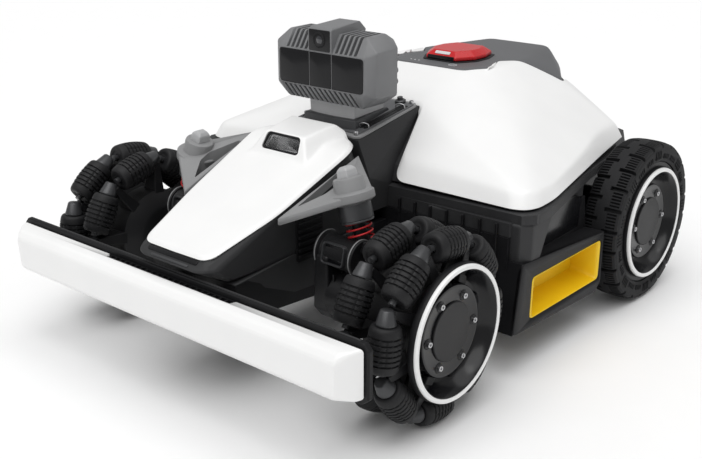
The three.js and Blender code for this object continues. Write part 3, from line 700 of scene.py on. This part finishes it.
def skirt_frame(side):
    """The dark frame round the grip pocket, a little proud of the skirt."""
    plane = Matrix(((0, 0, 1, 0), (1, 0, 0, 0), (0, 1, 0, 0), (0, 0, 0, 1)))
    outer = fillet([(y, z, 0) for y, z in SKIRT], [5, 4, 4, 5, 6])
    hole = fillet([(y, z, 0) for y, z in [(103.4, 105.4), (-45.4, 105), (-47, 57.2), (103, 57.2)]], 6)
    plate = publish(f"skirt_frame_{SIDE_NAMES[side]}", block(outer, 238, 242.2, 1.2, plane), BLACK, LEFT)
    cutter = publish("pocket_cutter", block(hole, 230, 250, 0.1, plane), BLACK)
    cut(plate, cutter)
    if side == RIGHT:
        plate.data.transform(Matrix.Scale(-1, 4, (1, 0, 0)))
        plate.data.flip_normals()
    settle(plate, "chassis", "black_plastic")


def ledge_band():
    """The smooth band that the white cover stands on."""
    half = [(234.2, -60.4), (244.4, -46.2), (242.4, -14), (203.4, 150.2), (197.4, 240.2), (150, 326.4),
            (110, 346.8)]
    outline = fillet([(x, y, 0) for x, y in half] + [(-x, y, 0) for x, y in half[::-1]],
                     [8, 8, 12, 30, 20, 20, 12] + [12, 20, 20, 30, 12, 8, 8])
    settle(publish("ledge_band", block(outline, 163.6, 174.5, 2.6), HOUSING), "chassis", "dark_housing")


def side_cheek(side):
    """The smooth corner of the housing behind the front wheel, its rear end slanted."""
    corner = hull([(120, -67.6, 165), (234, -62, 165), (242, -48, 165), (240.4, -6, 165), (205, -6, 165),
                   (120, -67.6, 112), (234, -62, 112), (241, -48, 112), (240.4, -32, 112), (205, -32, 112),
                   (120, -50, 165), (120, -50, 112)], 3)
    cheek = rounded(publish(f"side_cheek_{SIDE_NAMES[side]}", corner, HOUSING, side, 0), 4, 5, 14)
    settle(cheek, "chassis", "dark_housing")


def side_panel(side):
    """The recessed black panel between the ledge and the skirt."""
    plane = frame_of((221.2, 26, 141), (1, 0.056, 0), (0, 1, 0))
    outline = fillet([(-62, -19, 0), (64, -26, 0), (70, 12, 0), (52, 18, 0), (-56, 14, 0)], [4, 4, 5, 5, 6])
    panel = publish(f"side_panel_{SIDE_NAMES[side]}", block(outline, -6, 0.4, 0.4, plane), GLOSS_BLACK, side)
    settle(panel, "chassis", "black_plastic")


def front_wall_ribs(side):
    """The ribs of the wall behind the front wheels, coloured darker than the housing as painted shade."""
    ribs = []
    for x in np.linspace(84, 210, 7):
        ribs.append(box((x - 1.2, FRONT_WALL_Y - 2.2, 104), (x + 1.2, FRONT_WALL_Y + 2, 163.6)))
    # The ribs take black plastic, darker than the housing they belong to: painted shade that mutes the light
    # on them.
    wall = publish(f"wall_ribs_{SIDE_NAMES[side]}", joined(*ribs), BLACK, side)
    settle(rounded(wall, 0.7, 2), "chassis", "dark_housing")


def lower_body():
    softened_node("chassis_tub", BLACK, 1.6)
    softened_node("upper_housing", HOUSING, 2.2)
    softened_node("battery_pack", BLACK, 1.5)
    ledge_band()
    for side in (LEFT, RIGHT):
        grip_pocket(side)
        skirt_frame(side)
        side_cheek(side)
        side_panel(side)
        front_wall_ribs(side)


# ---------------------------------------------------------------- sensor
BASE_PLANE = frame_of((0, -46.5, 242.2), (0, -0.153, 0.988), (1, 0, 0))


def sensor_pedestal():
    plan = fillet([(53.4, -56.4, 0), (49.4, 56.4, 0), (-49.4, 56.4, 0), (-53.4, -56.4, 0)], 9)
    base = publish("sensor_base_plate", block(plan, -3, -0.2, 1, BASE_PLANE), GREY)
    settle(base, "chassis", "grey_plastic", "sensor_pedestal")
    steps = np.linspace(-1, 1, 13)
    foot = [(39 * s, -95.6 + 5 * s * s, 232.8) for s in steps] + [(34, -20, 243.5), (-34, -20, 243.5)]
    waist = [(37 * s, -92 + 4 * s * s, 246.4) for s in steps] + [(32, -26, 250), (-32, -26, 250)]
    boot = rounded(publish("sensor_boot", rings([foot, waist]), SATIN_DARK, sharp=0), 1.6, 3, 35)
    settle(boot, "chassis", "dark_housing")
    low = [(32 * s, -87 + 3 * s * s, 246) for s in steps] + [(30, -30, 249), (-30, -30, 249)]
    head = [(33 * s, -87 + 3 * s * s, 261) for s in steps] + [(30, -30, 261.4), (-30, -30, 261.4)]
    neck = rounded(publish("sensor_neck", rings([low, head]), LIGHT_GREY, sharp=0), 0.8, 2, 35)
    settle(neck, "chassis", "grey_plastic")
    inset = fillet([(s * 49, y, 0) for s, y in ((1, -50), (1, 50), (-1, 50), (-1, -50))], 5)
    well = publish("sensor_base_well", block([(p.x, p.y, 0) for p in inset], 0.2, 1.2, 0.3, BASE_PLANE), DECK)
    settle(well, "chassis", "dark_housing")
    for side in (LEFT, RIGHT):
        base_fittings(side)


def base_fittings(side):
    """The rail slots, spring clips and screws beside the sensor's neck."""
    word = SIDE_NAMES[side]
    slots = [block(moved(rounded_rect(2.2, 38, 2), Matrix.Translation((x, 2, 0))), 0.8, 1.7, 0.2, BASE_PLANE)
             for x in (39.5, 45)]
    settle(publish(f"base_slots_{word}", joined(*slots), BLACK, side), "chassis", "black_plastic")
    for k, y in enumerate((-34, 30)):
        path = [(x * side, yy, z) for x, yy, z in ((37, y, 1), (37, y, 5), (42, y + 1.5, 6.5), (47, y + 3, 5),
                                                   (47, y + 3, 1))]
        clip = wire(f"base_clip_{word}_{k + 1}", moved(fillet(path, 2.4, False), BASE_PLANE), 0.8, STEEL)
        settle(clip, "chassis", "blade_steel")
    for k, (x, y) in enumerate(((46, -51), (44, 50))):
        place = BASE_PLANE @ Vector((x, y, 2.2))
        screw(f"base_screw_{word}_{k + 1}", place, (0, -0.153, 0.988), 2.6, side, "chassis")
    if side == LEFT:
        gland = turned([(0, 0), (6.4, 0), (6.4, 3), (5, 4), (3.2, 4), (3.2, 7), (0, 7)], 28,
                       BASE_PLANE @ Matrix.Translation((31, 46, 1)))
        settle(publish("sensor_cable_gland", gland, SATIN_DARK), "chassis", "grey_plastic")


def sensor_head():
    corners = [(53.8, -95, 262.8), (53.8, -60, 262.8), (61.6, -102.6, 279.6), (60.8, -102.6, 318.2),
               (71.8, -94, 276.4), (71.8, -94, 323.6), (70.8, -58, 274.4), (70.8, -58, 325.6),
               (55.6, -90, 337.6), (53.8, -58, 338.6), (59.4, -50.4, 280.4), (57.6, -48.4, 331.6)]
    body = applied(rounded(publish("sensor_body", hull(both(corners), 3), HEAD_GREY, sharp=0), 1.6, 3, 16))
    fin_slot = [(-97, 319), (-86, 333.2), (-60, 333.8), (-58, 350), (-112, 350), (-112, 319)]
    louvres = [hull([(x + dx + lean, y, z) for dx in (0, 3.4) for lean, z, ys in
                     ((0, 278.4, (-112, -96)), (8, 261.4, (-112, -88))) for y in ys])
               for x in np.linspace(-55, 39.4, 14)]
    slots = [hull([(s * x, y, z) for x in (x0, x0 + 3.9) for y, z in fin_slot])
             for x0 in np.linspace(20, 46.4, 5) for s in (1, -1)]
    back_slots = [hull([(x + dx, y, z) for dx in (0, 3.2)
                        for y, z in ((-40, 284), (-51.5, 284), (-40, 326), (-50, 326))])
                  for x in np.linspace(-48, 45, 12)]
    cut(body, *[publish("slot_cutter", part, HEAD_GREY) for part in louvres + slots + back_slots])
    body.data.shade_smooth()
    body.data.set_sharp_from_angle(angle=math.radians(24))
    settle(body, "chassis", "grey_plastic", "sensor_head")
    windows()
    camera_eye()
    for side in (LEFT, RIGHT):
        for k, z in enumerate((288, 300, 312)):
            bump = turned([(0, 0), (3.4, 0), (3.4, 2), (2.6, 3), (0, 3)], 20,
                          frame_of((63.4, -53.4, z), (0.5, 0.86, 0)))
            settle(publish(f"sensor_stud_{SIDE_NAMES[side]}_{k + 1}", bump, HEAD_GREY, side), "chassis",
                   "grey_plastic")


def windows():
    """The three dark windows in the head's face, with thin bars between them."""
    face = frame_of((0, -102.6, 299), (0, -1, 0), (1, 0, 0))
    for name, x0, x1, radii in (("left", 16.6, 60.2, [4, 1, 1, 5]), ("middle", -15.4, 15.4, [1, 1, 1, 1]),
                                ("right", -60.2, -16.6, [1, 4, 5, 1])):
        outline = fillet([(x1, 18.6, 0), (x0, 18.6, 0), (x0, -18.8, 0), (x1, -18.8, 0)], radii)
        pane = publish(f"sensor_window_{name}", block(outline, -2, 0.7, 0.4, face), GLASS)
        settle(pane, "chassis", "black_plastic")


def camera_eye():
    housing = hull(both([(16.8, -103.6, 318.6), (16.8, -103.6, 342.6), (14.6, -101, 345), (15, -54, 347.6),
                         (15.8, -44.4, 338), (16.8, -60, 300), (16.8, -100, 312)]), 3)
    settle(rounded(publish("eye_housing", housing, HEAD_GREY, sharp=0), 1.1, 3, 18), "chassis",
           "grey_plastic")
    face = frame_of((0, -103.6, 330.8), (0, -1, 0), (1, 0, 0))
    plate = block(rounded_rect(15, 11.4, 1.6), -1, 0.5, 0.3, face)
    settle(publish("eye_plate", plate, GLOSS_BLACK), "chassis", "black_plastic")
    lens_frame = frame_of((0, -104, 331.4), (0, -1, 0), (1, 0, 0))
    ring = [(8.6, -0.5), (8.6, 0.5), (8.0, 0.9), (7.0, 0.9), (6.2, 0.1), (5.4, -0.3), (5.4, -0.5)]
    settle(publish("eye_ring", turned(ring + ring[:1], 48, lens_frame), BLACK), "chassis", "black_plastic")
    dome = [(0, 0.75), (1.6, 0.66), (3.2, 0.4), (4.6, 0), (5.4, -0.45), (0, -0.6)]
    settle(publish("eye_lens", turned(dome, 48, lens_frame), LENS), "chassis", "black_plastic")


# ---------------------------------------------------------------- struts and knuckles
STRUT_FRAME = Matrix.Translation(STRUT) @ Matrix.Rotation(math.radians(-STRUT_LEAN), 4, "Y")
SPRING_R, SPRING_WIRE, SPRING_TURNS = 12.6, 1.05, 6
SPRING_ENDS = (-48, -10.5)
KNUCKLE_FRAME = along_x(87, -194, 143)


def strut_bracket(side):
    word = SIDE_NAMES[side]
    tips = [(68.4, -242.6, 182.2), (72, -236, 184), (76, -128.6, 223.8), (83.6, -136, 221.8)]
    flange = [STRUT_FRAME @ Vector((21.6 * math.cos(a), 21.6 * math.sin(a), z))
              for a in np.linspace(0, 2 * math.pi, 21)[:-1] for z in (-2, -8.4)]
    plate = hull(tips + [(x, y, z - 7.6) for x, y, z in tips] + [tuple(p) for p in flange], 1)
    arm = applied(rounded(publish(f"bracket_arm_{word}", plate, GREY, sharp=0), 1.3, 3, 24))
    opening = fillet([(75.6, -222, 0), (75.6, -150, 0), (80, -150, 0), (94, -184, 0), (92, -198, 0)], 3)
    cut(arm, publish("opening_cutter", block(opening, 150, 240, 0.1), GREY))
    if side == RIGHT:
        arm.data.transform(Matrix.Scale(-1, 4, (1, 0, 0)))
        arm.data.flip_normals()
    arm.data.shade_smooth()
    arm.data.set_sharp_from_angle(angle=math.radians(30))
    settle(arm, "chassis", "grey_plastic", f"strut_bracket_{word}")
    cup = [(0, -12), (17.4, -12), (22.6, -9), (23, -7.6), (23, -1.4), (22.2, -0.4), (18, 0), (16.6, 0.8),
           (16.2, 3), (16, 12), (15.2, 14.2), (13.6, 15), (0, 15)]
    settle(publish(f"strut_cup_{word}", turned(cup, 56, STRUT_FRAME), GREY, side), "chassis", "grey_plastic")
    knob = hull([(sx * 7.2, sy * 8.4, 14) for sx in (1, -1) for sy in (1, -1)]
                + [(sx * 6.8, sy * 7.8, 22.6) for sx in (1, -1) for sy in (1, -1)]
                + [(sx * 3.4, sy * 5.2, 26) for sx in (1, -1) for sy in (1, -1)])
    knob.transform(STRUT_FRAME)
    settle(rounded(publish(f"strut_knob_{word}", knob, LIGHT_GREY, side, 0), 1.2, 3), "chassis",
           "grey_plastic")
    tube = [(15.3, -10), (17.2, -10), (17.2, -27.4), (16.6, -28.2), (16.9, -28.8), (16.9, -30), (16.2, -30.4),
            (15.3, -30.4), (15.3, -10)]
    settle(publish(f"strut_tube_{word}", turned(tube, 48, STRUT_FRAME), SATIN_DARK, side), "chassis",
           "dark_housing")


def strut_spring(side):
    count = SPRING_TURNS * 26
    points = []
    for k in range(count + 1):
        share = k / count
        angle = 2 * math.pi * SPRING_TURNS * share
        height = SPRING_ENDS[0] + (SPRING_ENDS[1] - SPRING_ENDS[0]) * share
        points.append(STRUT_FRAME @ Vector((SPRING_R * math.cos(angle), SPRING_R * math.sin(angle), height)))
    word = SIDE_NAMES[side]
    coil = sweep(points, [SPRING_WIRE] * len(points), 10)
    spring = publish(f"spring_coil_{word}", coil, SPRING_RED, side, 0)
    settle(spring, "chassis", "spring_red", f"strut_spring_{word}")
    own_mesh(spring)


def knuckle(side):
    word = SIDE_NAMES[side]
    body = f"knuckle_{word}"
    tube = [(0, 0), (15, 0), (16, 1), (19.2, 1), (20, 1.8), (20, 5.4), (19.2, 6), (17.2, 6.6), (17, 8),
            (17, 42), (17.4, 43.4), (19, 44), (19.2, 45), (19.2, 49), (18.4, 50), (14, 50), (13, 48.6),
            (0, 48.6)]
    cross = publish(f"knuckle_tube_{word}", turned(tube, 56, KNUCKLE_FRAME), CAST, side)
    settle(cross, body, "cast_black", body)
    for k, (x, r) in enumerate(((3.6, 20.1), (47, 19.3))):
        band = [(r - 1, x - 0.7), (r, x - 0.7), (r + 0.3, x), (r, x + 0.7), (r - 1, x + 0.7),
                (r - 1, x - 0.7)]
        ring = publish(f"knuckle_ring_{word}_{k + 1}", turned(band, 56, KNUCKLE_FRAME), GREY, side)
        settle(ring, body, "grey_plastic")
    face = frame_of((113, -210.6, 146.5), (0, -0.97, 0.22), (1, 0, 0))
    outline = rounded_rect(14.5, 11, 4)
    rim = [[p * scale + Vector((0, 0, z)) for p in outline]
           for scale, z in ((1, -6), (1, 1.4), (0.98, 2.0), (0.9, 2.0), (0.87, 1.4), (0.85, -1.4))]
    frame_piece = publish(f"knuckle_window_{word}", rings([moved(loop, face) for loop in rim]), SATIN_DARK,
                          side, 40)
    settle(frame_piece, body, "grey_plastic")
    pane = block([p * 0.84 for p in outline], -2, -1.0, 0.3, face)
    settle(publish(f"knuckle_pane_{word}", pane, GLOSS_BLACK, side), body, "black_plastic")
    case = hull([(89, -213, 143), (89, -178.6, 143), (106.6, -213, 143), (106.6, -178.6, 143),
                 (89.2, -215.6, 86), (89.2, -172.6, 86), (110.6, -215.6, 86), (110.6, -172.6, 86),
                 (91.4, -206, 73.4), (91.4, -182.4, 73.4), (108.6, -206, 73.4), (108.6, -182.4, 73.4)], 4)
    settle(rounded(publish(f"knuckle_case_{word}", case, CAST, side, 0), 3, 4, 20), body, "cast_black")
    ribs = [box((110, y - 1.2, 82), (112.4, y + 1.2, 124)) for y in (-208, -194, -180)]
    ribs.append(box((110, -212, 101), (112.2, -176, 103.4)))
    settle(rounded(publish(f"knuckle_ribs_{word}", joined(*ribs), CAST, side, 0), 0.6, 2), body, "cast_black")
    axle = [(0, 20), (23.6, 20), (23.6, 38), (22, 40), (18, 45), (17.6, 62), (16.6, 65.6), (12, 66),
            (11.8, 91.6), (0, 91.6)]
    settle(publish(f"knuckle_axle_{word}", turned(axle, 48, along_x(87, -194, WHEEL_R)), CAST, side), body,
           "cast_black")
    rod = [(0, -60), (14.6, -60), (14.8, -59), (14.8, -51), (14, -50.2), (7, -50.2), (6.8, -20.4), (0, -20.4)]
    settle(publish(f"strut_rod_{word}", turned(rod, 36, STRUT_FRAME), BLACK, side), body, "cast_black")


# ---------------------------------------------------------------- rollers and front wheels
def roller_shape():
    """One barrel: smooth ends, six grooves between them with fine axial nicks, and rounded shoulders."""
    bm = bmesh.new()
    around = 64
    groove_at = [-12.5, -7.5, -2.5, 2.5, 7.5, 12.5]
    groove_stations = {round(z, 2) for g in groove_at
                       for z in (g - 1, g - 0.7, g - 0.4, g + 0.4, g + 0.7, g + 1)}
    plain_stations = {-21.9, -21.4, -20.6, -18.8, 18.8, 20.6, 21.4, 21.9, -15, -10, -5, 0, 5, 10, 15}
    stations = sorted(groove_stations | plain_stations)
    loops = []
    for z in stations:
        barrel = math.sqrt(WHEEL_R**2 - z * z) - ROLLER_PATH_R
        shoulder = max(0, abs(z) - 18.6) / (ROLLER_HALF - 18.6)
        barrel -= 2.4 * (1 - math.sqrt(max(0, 1 - shoulder**2)))
        gap = min(abs(z - g) for g in groove_at)
        depth = 1.9 if gap < 0.5 else 1.3 if gap < 0.8 else 0
        loop = []
        for k in range(around):
            nick = 0.9 if k % 8 == 0 and depth == 0 and abs(z) < 12 else 0
            bridge = 0.75 if k % 8 == 4 else 0
            r = barrel - 0.15 - depth * (1 - bridge) - nick
            a = 2 * math.pi * k / around
            loop.append(bm.verts.new((r * math.cos(a), r * math.sin(a), z)))
        loops.append(loop)
    for sign, ends in ((-1, 0), (1, len(loops))):
        for r, z in ((8.6, 21.9), (7.8, 21.0), (4.4, 21.0)):
            loop = [bm.verts.new((r * math.cos(2 * math.pi * k / around),
                                  r * math.sin(2 * math.pi * k / around), sign * z)) for k in range(around)]
            if sign < 0:
                loops.insert(0, loop)
            else:
                loops.append(loop)
    for a, b in list(zip(loops, loops[1:])) + [(loops[-1], loops[0])]:
        for k in range(around):
            j = (k + 1) % around
            bm.faces.new((a[k], a[j], b[j], b[k]))
    bmesh.ops.recalc_face_normals(bm, faces=bm.faces)
    return bm


def roller_frame(row, angle_deg, radius=ROLLER_PATH_R):
    """+Z along the wheel's tangent, +X straight out from the axle."""
    angle = math.radians(angle_deg)
    outward = Vector((0, math.cos(angle), math.sin(angle)))
    tangent = Vector((0, -math.sin(angle), math.cos(angle)))
    made = Matrix((outward, tangent.cross(outward), tangent)).transposed().to_4x4()
    made.translation = Vector((ROLLER_ROWS[row][0], FRONT_AXLE_Y, WHEEL_R)) + outward * radius
    return made


def rollers():
    shape = publish("roller_shape", roller_shape(), ROLLER_RUBBER, sharp=50)
    pitch = 360 / ROLLERS_PER_ROW
    for side in (LEFT, RIGHT):
        mirror = Matrix.Scale(side, 4, (1, 0, 0))
        for row, (_x, phase) in ROLLER_ROWS.items():
            for i in range(ROLLERS_PER_ROW):
                place = roller_frame(row, phase + i * pitch)
                place.translation = place.translation * MM
                mesh = shape.data.copy()
                mesh.transform(mirror @ place)
                if side == RIGHT:
                    mesh.flip_normals()
                body = f"roller_{SIDE_NAMES[side]}_{row}_{i + 1}"
                roller = bpy.data.objects.new(body.replace("roller_", "barrel_"), mesh)
                bpy.context.scene.collection.objects.link(roller)
                settle(roller, body, "roller_rubber", body)
    bpy.data.objects.remove(shape)


def roller_carriers(side):
    """For each pair of neighbouring rollers: the arm from the drum, and the cone that enters the next one."""
    pitch = 360 / ROLLERS_PER_ROW
    corner_r = ROLLER_PATH_R / math.cos(math.radians(pitch / 2))
    reach = ROLLER_PATH_R * math.tan(math.radians(pitch / 2))
    elbows, arms = [], []
    for row, (_x, phase) in ROLLER_ROWS.items():
        for i in range(ROLLERS_PER_ROW):
            here, after = roller_frame(row, phase + i * pitch), roller_frame(row, phase + (i + 1) * pitch)
            cone = [(0, -reach - 3), (5.2, -reach - 3), (6.4, -reach - 2), (9.4, -ROLLER_HALF - 2.4),
                    (9.8, -ROLLER_HALF - 1.6), (9.6, -ROLLER_HALF - 0.6), (0, -ROLLER_HALF - 0.6)]
            elbows.append(turned(cone, 32, after))
            pin = [(0, ROLLER_HALF - 3), (3.6, ROLLER_HALF - 3), (3.6, ROLLER_HALF + 4), (0, ROLLER_HALF + 4)]
            elbows.append(turned(pin, 16, here))
            pin = [(r, -z) for r, z in pin[::-1]]
            elbows.append(turned(pin, 16, after))
            post = roller_frame(row, phase + (i + 0.5) * pitch, 0)
            wedge = hull([(r, x, t) for r, x, t in
                          [(46, sx * 11, st * 7) for sx in (1, -1) for st in (1, -1)]
                          + [(corner_r - 6, sx * 5, st * 4) for sx in (1, -1) for st in (1, -1)]])
            wedge.transform(post)
            arms.append(wedge)
    word = SIDE_NAMES[side]
    body = f"front_wheel_{word}"
    settle(publish(f"carrier_elbows_{word}", joined(*elbows), SATIN_DARK, side, 50), body, "cast_black",
           f"front_hub_{word}")
    settle(rounded(publish(f"carrier_arms_{word}", joined(*arms), CAST, side, 0), 1.2, 3), body, "cast_black")


def front_hub(side):
    word = SIDE_NAMES[side]
    body = f"front_wheel_{word}"
    roller_carriers(side)
    drum = [(13.6, 166), (30, 166), (34, 167), (50, 178), (50, 204), (46, 207), (46, 211), (50, 214),
            (50, 229), (55, 234), (64, 247), (64, 249), (60, 247.4), (54, 235.4), (48, 232.8), (0, 232.8),
            (0, 199), (13.6, 199), (13.6, 166)]
    settle(publish(f"hub_drum_{word}", turned(drum, 72, along_x(0, FRONT_AXLE_Y, WHEEL_R)), CAST, side, 30),
           body, "cast_black")
    wheel_face(side, body, FRONT_AXLE_Y, "front")


def wheel_face(side, body, axle_y, word):
    """The dished face of all four wheels: white ring, black lip, glossy cone, hub cap and six screws."""
    name = f"{word}_{SIDE_NAMES[side]}"
    axis = along_x(0, axle_y, WHEEL_R)
    lip = [(60, 246), (68.2, 246), (68.8, 247), (68.6, 251), (68, 252.4), (66.8, 252.8), (60, 250), (60, 246)]
    settle(publish(f"wheel_lip_{name}", turned(lip, 120, axis), BLACK, side, 40), body, "black_plastic")
    ring = [(62.8, 252), (67.2, 252), (67.7, 252.8), (67.5, 255), (66.8, 255.9), (63.8, 255.9), (63, 255.4),
            (62.8, 252)]
    settle(publish(f"wheel_ring_{name}", turned(ring, 120, axis), WHITE, side, 40), body, "white_shell")
    dish = [(62.9, 250), (62.9, 254.8), (62.4, 255), (61.6, 254.2), (59.2, 248.4), (56.2, 242.6),
            (53.2, 238.2), (50, 235.6), (47.6, 234.9), (0, 234.9), (0, 233.4), (48, 233.2), (54.4, 236.2),
            (62.9, 250)]
    settle(publish(f"wheel_dish_{name}", turned(dish, 120, axis), GLOSS_BLACK, side, 35), body,
           "black_plastic")
    cap = [(0, 234), (46, 234), (46.1, 243.4), (45.2, 244.8), (43.4, 245.2), (42.4, 244.9), (0, 244.9)]
    settle(publish(f"wheel_cap_{name}", turned(cap, 96, axis), GLOSS_BLACK, side, 30), body, "black_plastic")
    disc = [(0, 244), (29.8, 244), (29.6, 246), (28.8, 246.6), (0, 246.8)]
    settle(publish(f"wheel_disc_{name}", turned(disc, 96, axis), CAST, side, 30), body, "cast_black")
    for k in range(6):
        a = math.radians(60 * k)
        y, z = axle_y + 36 * math.cos(a), WHEEL_R + 36 * math.sin(a)
        pad = turned([(0, 0), (5.4, 0), (5.4, 0.7), (4.6, 1.2), (0, 1.2)], 32, along_x(244.4, y, z))
        settle(publish(f"wheel_pad_{name}_{k + 1}", pad, CAST, side), body, "cast_black")
        screw(f"wheel_screw_{name}_{k + 1}", (246.4, y, z), (1, 0, 0), 2.9, side, body)


# ---------------------------------------------------------------- rear wheels
TYRE_PITCHES = 24
TYRE_FACES = (206.4, 251.6)


def rear_tyre(side):
    """A lathe whose radius is cut by shoulder gaps and by sipes across each block."""
    word = SIDE_NAMES[side]
    samples = 20
    around = TYRE_PITCHES * samples
    middle = sum(TYRE_FACES) / 2
    half = (TYRE_FACES[1] - TYRE_FACES[0]) / 2
    across = [-22, -19.6, -19.2, -14, -8.4, -8, -3.4, -3, 0, 3, 3.4, 8, 8.4, 14, 19.2, 19.6, 22]
    bm = bmesh.new()
    grid = []
    for k in range(around):
        a = 2 * math.pi * k / around
        outward = Vector((0, math.cos(a), math.sin(a)))
        loop = [outward * 75 + Vector((middle - half + 1, 0, 0)),
                outward * 84 + Vector((middle - half, 0, 0)),
                outward * 90 + Vector((middle - half + 0.4, 0, 0))]
        for u in across:
            row = 0 if u < 0 else samples // 2
            step = (k + row) % samples
            r = 97.6 - 2.6 * (abs(u) / 22) ** 3
            if abs(u) > 3.2 and step in (0, 1, 2):
                r -= 5.2
            elif 8.2 < abs(u) < 19.4 and step in (5, 8, 11, 14, 17):
                r -= 2.6
            elif abs(u) > 21 and step > 2:
                r -= 1.2
            loop.append(outward * r + Vector((middle + u * (half - 0.6) / 22, 0, 0)))
        for r, dx in ((91.4, 0), (90.6, 0.5), (86, 0.7), (82, 0.4), (77, -0.4), (74.6, -1.4)):
            loop.append(outward * r + Vector((middle + half - 0.6 + dx * 0.8, 0, 0)))
        grid.append([bm.verts.new(p + Vector((0, REAR_AXLE_Y, WHEEL_R))) for p in loop])
    for a, b in zip(grid, grid[1:] + grid[:1]):
        n = len(a)
        for i in range(n):
            j = (i + 1) % n
            bm.faces.new((a[i], b[i], b[j], a[j]))
    bmesh.ops.recalc_face_normals(bm, faces=bm.faces)
    body = f"rear_wheel_{word}"
    settle(publish(f"tyre_{word}", bm, TYRE, side, 38), body, "tyre", f"rear_tyre_{word}")
    patches = []
    for k in range(TYRE_PITCHES):
        for lean in (-4.2, -1.4, 1.4, 4.2):
            turn = Matrix.Translation((0, REAR_AXLE_Y, WHEEL_R)) @ Matrix.Rotation(
                math.radians(k * 360 / TYRE_PITCHES + lean), 4, "X")
            rib = box((251.2, -0.6, 78.6), (252.4, 0.6, 84.2 if k % 3 else 88.6))
            rib.transform(turn)
            patches.append(rib)
    settle(publish(f"tyre_sidewall_{word}", joined(*patches), TYRE, side), body, "tyre")


def rear_rim(side):
    word = SIDE_NAMES[side]
    body = f"rear_wheel_{word}"
    well = [(0, 195), (38, 195), (41, 197), (44, 206), (66, 209), (73.6, 209), (73.6, 248.6), (64, 248.6),
            (60, 247.4), (54, 235.4), (48, 232.8), (0, 232.8), (0, 195)]
    settle(publish(f"rim_well_{word}", turned(well, 96, along_x(0, REAR_AXLE_Y, WHEEL_R)), CAST, side, 30),
           body, "cast_black", f"rear_rim_{word}")
    axle = [(0, 156.4), (11, 156.4), (12, 157.4), (12, 196), (0, 196)]
    settle(publish(f"rear_axle_{word}", turned(axle, 40, along_x(0, REAR_AXLE_Y, WHEEL_R)), STEEL, side),
           body, "blade_steel")
    wheel_face(side, body, REAR_AXLE_Y, "rear")


# ---------------------------------------------------------------- underside
def underside():
    softened_node("cutter_deck", BLACK, 1.2)
    softened_node("blade_disc", STEEL, 0.5)


# ---------------------------------------------------------------- stage
WORLD_LIGHT = 0.46
# name, the way the light goes, its spread in degrees, and its power
LAMPS = (("key", (-0.1, 0.5, -1), 60, 1.65), ("top", (-0.1, -0.15, -1), 50, 0.7))


def stage():
    bm = bmesh.new()
    bmesh.ops.create_grid(bm, x_segments=8, y_segments=8, size=6000)
    floor = publish("floor", bm, material("floor_paper", (0.93, 0.93, 0.93), 0.6, (40, 0.01), 0.004, 0.03))
    world = bpy.data.worlds.new("studio")
    world.use_nodes = True
    world.node_tree.nodes["Background"].inputs["Color"].default_value = (1, 1, 1, 1)
    world.node_tree.nodes["Background"].inputs["Strength"].default_value = WORLD_LIGHT
    bpy.context.scene.world = world
    for name, direction, spread, power in LAMPS:
        lamp = bpy.data.lights.new(name, "SUN")
        lamp.angle = math.radians(spread)
        lamp.energy = power
        holder = bpy.data.objects.new(name, lamp)
        holder.rotation_euler = Vector(direction).to_track_quat("-Z", "Y").to_euler()
        bpy.context.scene.collection.objects.link(holder)


def camera():
    place, target = Vector((0.7541, -0.9321, 0.5223)), Vector((0, -0.0518, 0.1027))
    data = bpy.data.cameras.new("camera")
    data.lens = 53.85
    data.sensor_width = 36
    holder = bpy.data.objects.new("camera", data)
    holder.location = place
    holder.rotation_euler = (target - place).to_track_quat("-Z", "Y").to_euler()
    bpy.context.scene.collection.objects.link(holder)
    bpy.context.scene.camera = holder
    bpy.context.scene.view_settings.view_transform = "Standard"


# ---------------------------------------------------------------- the mower
camera()
stage()
top_cover()
rear_deck()
stop_button()
nose_cover()
nose_frame()
bumper()
lower_body()
sensor_pedestal()
sensor_head()
rollers()
underside()
for side in (LEFT, RIGHT):
    strut_bracket(side)
    strut_spring(side)
    knuckle(side)
    front_hub(side)
    rear_tyre(side)
    rear_rim(side)
